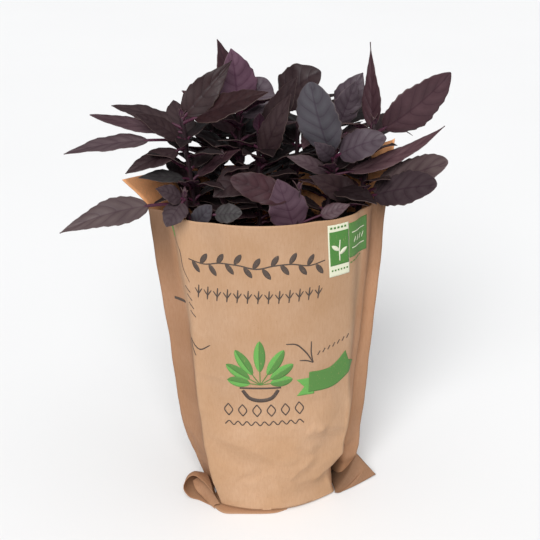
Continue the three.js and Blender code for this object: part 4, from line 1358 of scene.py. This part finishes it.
def plain_level(z):
    """The bag's folds in plan at a height, straight between the levels."""
    knots = [level[0] for level in BAG_LEVELS]
    values = np.array([level[1:] for level in BAG_LEVELS], float).reshape(len(knots), -1)
    return np.array([np.interp(z, knots, column) for column in values.T]).reshape(-1, 2)


# Columns of the plain bag on each face. Those of the back stand a lip's share in from its creases.
PLAIN = {"front": 9, "side": 3, "back": 14, "lip": 0.012}


def plain_columns():
    """The few columns of the plain bag that the rule measures from: (rim height, plan at a height)."""

    def front(q):
        def plan(z):
            _, fold_l, middle, fold_r, _, _ = plain_level(z)
            bulge = (middle[1] - (fold_l[1] + fold_r[1]) / 2) * (1 - q * q)
            return fold_l + (fold_r - fold_l) * (q + 1) / 2 + (0, bulge)

        return RIM["front"], plan

    def side(fold, crease, t):
        def plan(z):
            level = plain_level(z)
            a, b = level[fold], level[crease]
            pull = math.sin(math.pi * t)
            x = (a[0] + (b[0] - a[0]) * t) * (1 - SIDE_VALLEY["across"] * pull)
            return np.array([x, a[1] + (b[1] - a[1]) * t + SIDE_VALLEY["back"] * pull * (1 - t)])

        return RIM["front"], plan

    def rear(i):
        last, lip = PLAIN["back"] - 1, PLAIN["lip"]
        crease = i in (0, last)
        share = i / last if crease else lip + (1 - 2 * lip) * (i - 1) / (last - 2)
        q = 1 - 2 * share

        def plan(z):
            crease_l, _, _, _, crease_r, back = plain_level(z)
            bulge = (back[1] - (crease_l[1] + crease_r[1]) / 2) * (1 - abs(q) ** BACK_POWER)
            return crease_l + (crease_r - crease_l) * (q + 1) / 2 + (0, bulge)

        return (RIM["front"] if crease else float(rim_height(q))), plan

    columns = [front(2 * i / PLAIN["front"] - 1) for i in range(PLAIN["front"])]
    columns += [side(3, 4, i / PLAIN["side"]) for i in range(PLAIN["side"])]
    columns += [rear(i) for i in range(PLAIN["back"])]
    return columns + [side(1, 0, 1 - i / PLAIN["side"]) for i in range(1, PLAIN["side"])]


PROBES = {"wall_from": 170, "wall_step": 8, "stem_step": 5, "rows": 11, "across": (-1, -0.5, 0, 0.5, 1)}
NEAR_STEM_PROBES = 20


def wall_probes(step=PROBES["wall_step"], shares=(0, 0.5)):
    """Points on the bag's upper walls, a step apart in height and at shares of the way between columns."""
    columns = plain_columns()
    points = []
    for i, (rim, plan) in enumerate(columns):
        next_rim, next_plan = columns[(i + 1) % len(columns)]
        for z in range(PROBES["wall_from"], int(max(rim, next_rim)) + 1, step):
            for t in shares:
                height = min(z, rim + (next_rim - rim) * t)
                a, b = plan(height), next_plan(height)
                points.append((*(a + (b - a) * t), height))
    return Cloud(points)


def stem_probes(stem):
    heights = np.arange(SOIL_TOP, stem["tip"][2] + 1e-9, PROBES["stem_step"])
    return Cloud([stem_point(stem, z) for z in heights])


def clouds(leaf):
    """All of a leaf's probes, and those that are away from its stem."""
    points = probes(leaf)
    return Cloud(points), Cloud(points[NEAR_STEM_PROBES:])


def is_clear(leaf, placed, walls, stems, clear):
    """Whether a new leaf is clear of everything but its own stem."""
    whole, outer = clouds(leaf)
    if whole.near(walls, clear["bag"]):
        return False
    if any(name != leaf["stem"] and whole.near(other, clear["stem"]) for name, other in stems):
        return False
    for other, other_whole, other_outer in placed:
        if other["stem"] != leaf["stem"]:
            if whole.near(other_whole, clear["leaf"]):
                return False
        elif outer.near(other_outer, clear["own_leaf"]):
            return False
    return True


def direction(compass, rise):
    turn, level = math.radians(compass), math.cos(math.radians(rise))
    return np.array([math.cos(turn) * level, math.sin(turn) * level, math.sin(math.radians(rise))])


def grow_leaf(stem, height, compass, length, draws, is_free):
    """A leaf of a pair: the first draw that is clear is taken."""

    def spread(reach):
        return (next(draws) * 2 - 1) * reach

    for i in range(GROW["tries"]):
        node = min(height + spread(GROW["node_step"] * i), stem["tip"][2] - 1)
        turned = compass + spread(GROW["turn"] + GROW["turn_step"] * i)
        out = direction(turned, GROW["rise"] + spread(GROW["rise_range"]))
        reach = length * (1 + spread(GROW["length_range"])) * (1 - GROW["shrink_step"] * i)
        bend = GROW["bend"] + spread(GROW["bend_range"])
        face = (spread(GROW["tilt"]), spread(GROW["tilt"]), 1)
        tip = stem_point(stem, node) + out * reach
        leaf = make_leaf(stem, node, tip, reach * GROW["slimness"], face, bend, None)
        if is_free(leaf):
            return leaf
    return None


def crown_leaves(stem, number):
    leaves = []
    for side in (0, 180):
        out = direction(CROWN["first_turn"] + CROWN["next_turn"] * number + side, CROWN["rise"])
        tip = np.array(stem["tip"]) + out * CROWN["length"]
        face = (-out[0], -out[1], CROWN["face_up"])
        leaves.append(make_leaf(stem, stem["tip"][2], tip, CROWN["width"], face, CROWN["bend"], "wine"))
    return leaves


# Rows along and columns across a blade's mesh. Leaves deep in the plant get fewer.
BLADE_GRIDS = {"listed": (50, 21), "narrow": (30, 13), "pair": (36, 15), "shoot": (26, 11), "bud": (14, 7)}
NARROW_BLADE = 14
# Filler leaves are mostly 'shadow', painted shade for leaves deep in the plant.
FILLER_TONES = ("shadow", "shadow", "black", "shadow", "wine")  # for leaves without a tone of their own
# Small side leaves fill the plant between the listed ones and the pairs.
SHOOTS = {"from": 192, "below_tip": 8, "step": 11, "turn": 97, "length": 31, "longer": 13, "seed": 400}
SHOOT_CLEAR = {"leaf": 2.1, "own_leaf": 1.9, "stem": 2.4, "bag": 4.0}
FINE_WALL = {"step": 3, "shares": (0, 0.2, 0.4, 0.6, 0.8), "clear": 3.6}  # a second look at the paper
BARE_STEMS = ("stem_front", "stem_front_left")
# No side leaf stands in the gap through which the bag's back shows.
GAP_LINE = {"from": (28, -60, 258), "to": (32, 46, 221), "steps": 24, "radius": 10}


def place_leaves():
    """Every leaf: the listed ones, then each stem's crown and pairs, then side leaves where there is room."""
    walls = wall_probes()
    stems = [(stem["name"], stem_probes(stem)) for stem in STEMS]
    placed = []
    tones = random.Random(TONE_SEED)

    def keep(leaf, kind):
        if leaf is not None:
            leaf["grid"] = BLADE_GRIDS[kind]
            leaf["tone"] = leaf["tone"] or tones.choice(FILLER_TONES)
            placed.append((leaf, *clouds(leaf)))

    def is_free(leaf):
        return is_clear(leaf, placed, walls, stems, CLEAR)

    gap = Cloud(np.linspace(GAP_LINE["from"], GAP_LINE["to"], GAP_LINE["steps"]))

    def is_free_shoot(leaf):
        if clouds(leaf)[0].near(gap, GAP_LINE["radius"]):
            return False
        return is_clear(leaf, placed, walls, stems, SHOOT_CLEAR)

    for stem in STEMS:
        for listed in stem["leaves"]:
            leaf = make_leaf(stem, *listed)
            keep(leaf, "narrow" if leaf["width"] < NARROW_BLADE else "listed")
    for number, stem in enumerate(STEMS):
        draws = drawer(FIRST_SEED + number)
        for leaf in crown_leaves(stem, number):
            if is_free(leaf):
                keep(leaf, "narrow")
        for height, compass, length in stem["pairs"]:
            for side in (0, 180):
                keep(grow_leaf(stem, height, compass + side, length, draws, is_free), "pair")
    grown = len(placed)
    for number, stem in enumerate(STEMS):
        if stem["name"] in BARE_STEMS:
            continue
        draws = drawer(SHOOTS["seed"] + number)
        heights = np.arange(SHOOTS["from"], stem["tip"][2] - SHOOTS["below_tip"], SHOOTS["step"])
        for level, height in enumerate(heights):
            for side in (0, 180):
                length = SHOOTS["length"] + SHOOTS["longer"] * next(draws)
                compass = SHOOTS["turn"] * level + side
                keep(grow_leaf(stem, float(height), compass, length, draws, is_free_shoot), "shoot")
    fine = wall_probes(FINE_WALL["step"], FINE_WALL["shares"])
    shoots = [entry for entry in placed[grown:] if not entry[1].near(fine, FINE_WALL["clear"])]
    return [leaf for leaf, *_ in placed[:grown] + shoots]


# ---------- leaves and stems ----------

LEAF = {"thickness": 0.34, "teeth_per_mm": 0.14, "fewest_teeth": 5, "tooth": 0.085, "tooth_peak": 0.72}
SHADE_RANGE = (0.86, 1.14)  # how much lighter or darker a leaf is than its tone
BUD = {
    "leaves": 4,
    "turn": 15,
    "rise": (58, 76),
    "length": (6, 9),
    "width": (3, 4),
    "face_up": 0.3,
    "bend": 35,
}
STEM_MESH = {"rings": 64, "sides": 16}
STALK_MESH = {"stalk": 9, "rib": 18, "sides": 10}  # rings along the stalk and along the midrib
LEAF_FORM = {"cup": 0.10, "wave": 0.035, "pucker": 0.2, "groove": 0.35, "twist": 6}


def vein_count(x, q):
    """How many side veins lie below a point: whole numbers are on a vein."""
    sides = VEIN["stagger"] * np.tanh(5 * q)
    return VEIN["pairs"] * (x - VEIN["lean"] * np.abs(q) ** VEIN["curve"]) + sides


def leaf_height(x, q, half, width, draw):
    """How far a blade's points stand up from its folded form."""
    waves, phase = draw.uniform(1.6, 2.8), draw.uniform(0, 6.28)
    side_phase = np.where(q > 0, phase, phase + draw.uniform(1, 5))
    cup = -LEAF_FORM["cup"] * half * q * q * draw.uniform(0.2, 1.6)
    wave = LEAF_FORM["wave"] * width * np.sin(2 * math.pi * waves * x + side_phase)
    wave = wave * q * q * np.sin(math.pi * x)
    pillow = np.abs(np.sin(math.pi * vein_count(x, q))) ** 0.8
    pucker = LEAF_FORM["pucker"] * np.minimum(half / 9, 1.0) * pillow * (1 - q**4)
    groove = -LEAF_FORM["groove"] * np.exp(-((half * q / 0.9) ** 2)) * min(1, width / 16)
    return cup + wave + pucker + groove


def blade_grid(leaf, draw):
    """Points of a blade's upper side, its upward normals, and its place along and across."""
    rows, columns = leaf["grid"]
    x = np.linspace(0, 0.994, rows) ** 0.95
    q = np.linspace(-1, 1, columns)
    q = np.sign(q) * np.abs(q) ** 0.9
    stalk = leaf["stalk"]
    length = leaf["arc"]["length"] * (1 - stalk)
    teeth = max(LEAF["fewest_teeth"], round(length * LEAF["teeth_per_mm"]))
    saw = (x * teeth + draw.uniform(0, 0.3)) % 1
    peak = LEAF["tooth_peak"]
    saw = np.where(saw < peak, saw / peak, (1 - saw) / (1 - peak))
    widest = np.maximum(blade_share(leaf, x) * leaf["width"] / 2, 0.35 + 0.6 * (1 - x) ** 6)
    tooth = LEAF["tooth"] * (saw - 0.6) * np.sin(math.pi * np.clip(x, 0.02, 0.98)) ** 0.4
    half = widest[:, None] * (1 + tooth[:, None] * np.abs(q) ** 5)
    x, q = x[:, None] + 0 * q, q[None, :] + 0 * x[:, None]
    point, _, up = on_arc(leaf["arc"], stalk + x[:, 0] * (1 - stalk))
    side = np.repeat(leaf["arc"]["side"][None], rows, axis=0)
    twist = math.radians(LEAF_FORM["twist"]) * draw.uniform(-1, 1) * x[:, 0] ** 1.5
    turned = side * np.cos(twist)[:, None] + up * np.sin(twist)[:, None]
    up = up * np.cos(twist)[:, None] - side * np.sin(twist)[:, None]
    fold = math.radians(BLADE["fold"] + draw.uniform(-2, 4))
    reach = half * q
    lift = (np.sqrt(reach**2 + 0.6) - math.sqrt(0.6)) * math.sin(fold)
    lift = lift + leaf_height(x, q, half, leaf["width"], draw)
    points = point[:, None] + turned[:, None] * (reach * math.cos(fold))[..., None]
    return points + up[:, None] * lift[..., None], up, x, q


def add_blade(parts, leaf, draw):
    """A thin closed blade with a tint on its upper side and another underneath."""
    top, up, x, q = blade_grid(leaf, draw)
    rows, columns = top.shape[:2]
    under = top - up[:, None] * LEAF["thickness"]
    uv = np.stack([vein_count(x, q), q], -1).reshape(-1, 2)
    shade = draw.uniform(*SHADE_RANGE)
    upper = np.array(linear(TONES[leaf["tone"]])) * shade
    lower = np.array(linear(UNDERSIDE)) * shade
    tint = np.repeat([upper, lower], rows * columns, axis=0)
    faces = grid_faces(rows, columns)
    count = rows * columns
    below = [[corner + count for corner in reversed(face)] for face in faces]
    order = np.arange(count).reshape(rows, columns)
    loop = [*order[0, :], *order[1:, -1], *order[-1, -2::-1], *order[-2:0:-1, 0]]
    walls = [[int(b), int(a), int(a) + count, int(b) + count] for a, b in zip(loop, loop[1:] + loop[:1])]
    points = np.concatenate([top.reshape(-1, 3), under.reshape(-1, 3)])
    parts.add(points, faces + below + walls, np.concatenate([uv, uv]), tint)


def tube(centres, aheads, radii):
    """A closed tube through centres."""
    sides = STALK_MESH["sides"]
    points = []
    reference = np.array([0.2, 0.9, 0.3])
    for centre, ahead, radius in zip(centres, aheads, radii):
        across = unit(np.cross(reference, ahead))
        up = np.cross(unit(ahead), across)
        for a in np.linspace(0, 2 * math.pi, sides, endpoint=False):
            points.append(centre + across * math.cos(a) * radius + up * math.sin(a) * radius)
    return points, capped_faces(len(radii), sides)


def add_stalk(parts, leaf):
    """The leaf's stalk, which runs on under the blade as its midrib."""
    stalk = leaf["stalk"]
    under_blade = np.linspace(stalk, 0.96, STALK_MESH["rib"])[1:]
    s = np.concatenate([np.linspace(0, stalk, STALK_MESH["stalk"]), under_blade])
    point, ahead, up = on_arc(leaf["arc"], s)
    blade = np.clip((s - stalk) / (1 - stalk), 0, 1)
    size = min(1.0, 0.45 + leaf["width"] / 40)
    radius = size * (0.95 * (1 - blade) ** 1.2 + 0.16 + 0.75 * np.exp(-s * leaf["arc"]["length"] / 2.2))
    point = point - up * (np.minimum(blade * 20, 1) * (LEAF_FORM["groove"] + radius * 0.9))[:, None]
    points, faces = tube(point, ahead, radius)
    parts.add(points, faces, tint=linear(STALK_TONE), slot=1)


def add_stem(parts, stem, nodes):
    """The square stem, from inside the soil to its tip, a little swollen where leaves leave it."""
    heights = np.linspace(SOIL_TOP - STEM["hole_depth"], stem["tip"][2], STEM_MESH["rings"])
    sides = STEM_MESH["sides"]
    angles = np.linspace(0, 2 * math.pi, sides, endpoint=False)
    corner = 1 + 0.13 * np.cos(4 * angles)
    points = []
    for z in heights:
        ahead = unit(stem_point(stem, z + 1) - stem_point(stem, z - 1))
        across = unit(np.cross((0, 1, 0), ahead))
        up = np.cross(ahead, across)
        share = max(z - SOIL_TOP, 0) / (stem["tip"][2] - SOIL_TOP)
        radius = STEM["foot_radius"] + (STEM["top_radius"] - STEM["foot_radius"]) * share
        radius *= 1 + sum(0.35 * math.exp(-(((z - node) / 1.6) ** 2)) for node in nodes)
        ring = np.cos(angles)[:, None] * across + np.sin(angles)[:, None] * up
        points.append(stem_point(stem, z) + ring * (radius * corner * 0.95)[:, None])
    faces = capped_faces(len(heights), sides)
    parts.add(np.concatenate(points), faces, tint=linear(STEM_TONE), slot=1)


def add_bud(parts, stem, draw):
    """Tiny unopened leaves at the stem's tip."""
    for k in range(BUD["leaves"]):
        turn = 360 / BUD["leaves"] * k + draw.uniform(-BUD["turn"], BUD["turn"])
        out = direction(turn, draw.uniform(*BUD["rise"]))
        tip = np.array(stem["tip"]) + out * draw.uniform(*BUD["length"])
        face = (-out[0], -out[1], BUD["face_up"])
        leaf = make_leaf(stem, stem["tip"][2], tip, draw.uniform(*BUD["width"]), face, BUD["bend"], "wine")
        leaf["grid"] = BLADE_GRIDS["bud"]
        add_blade(parts, leaf, draw)


def make_stems(materials):
    leaves = place_leaves()
    for number, stem in enumerate(STEMS):
        draw = random.Random(LEAF_SEED + number)
        own = [leaf for leaf in leaves if leaf["stem"] == stem["name"]]
        parts = Parts()
        for leaf in own:
            add_blade(parts, leaf, draw)
            add_stalk(parts, leaf)
        add_stem(parts, stem, sorted({round(leaf["arc"]["root"][2]) for leaf in own}))
        add_bud(parts, stem, draw)
        piece = parts.mesh("leafy_" + stem["name"])
        finish_piece(piece, materials, [stem["name"]])


# ---------- the whole ----------


def make_floor():
    half = FLOOR_SIZE / 2
    corners = [(-half, -half, 0), (half, -half, 0), (half, half, 0), (-half, half, 0)]
    floor = new_mesh("floor", corners, [[0, 1, 2, 3]])
    floor.data.materials.append(floor_material())


add_camera()
add_light("front_light", **FRONT_LIGHT)
add_light("top_light", **TOP_LIGHT)
add_sky()
make_floor()
kraft = kraft_material("kraft_paper", "b59274", "ae8968")
# The inside's colour is painted light: lighter and more orange than the outside, for the light that comes
# through the paper.
kraft_inside_painted_light = kraft_material("kraft_inside_painted_light", "eca874", "e09a66")
bag_surface, bag_distance = make_bag(kraft, kraft_inside_painted_light)
make_ears(kraft)
make_print(Paper(bag_surface, bag_distance))
make_pot(pot_material())
make_soil(soil_material(), perlite_material())
make_stems([leaf_material(), stem_material()])
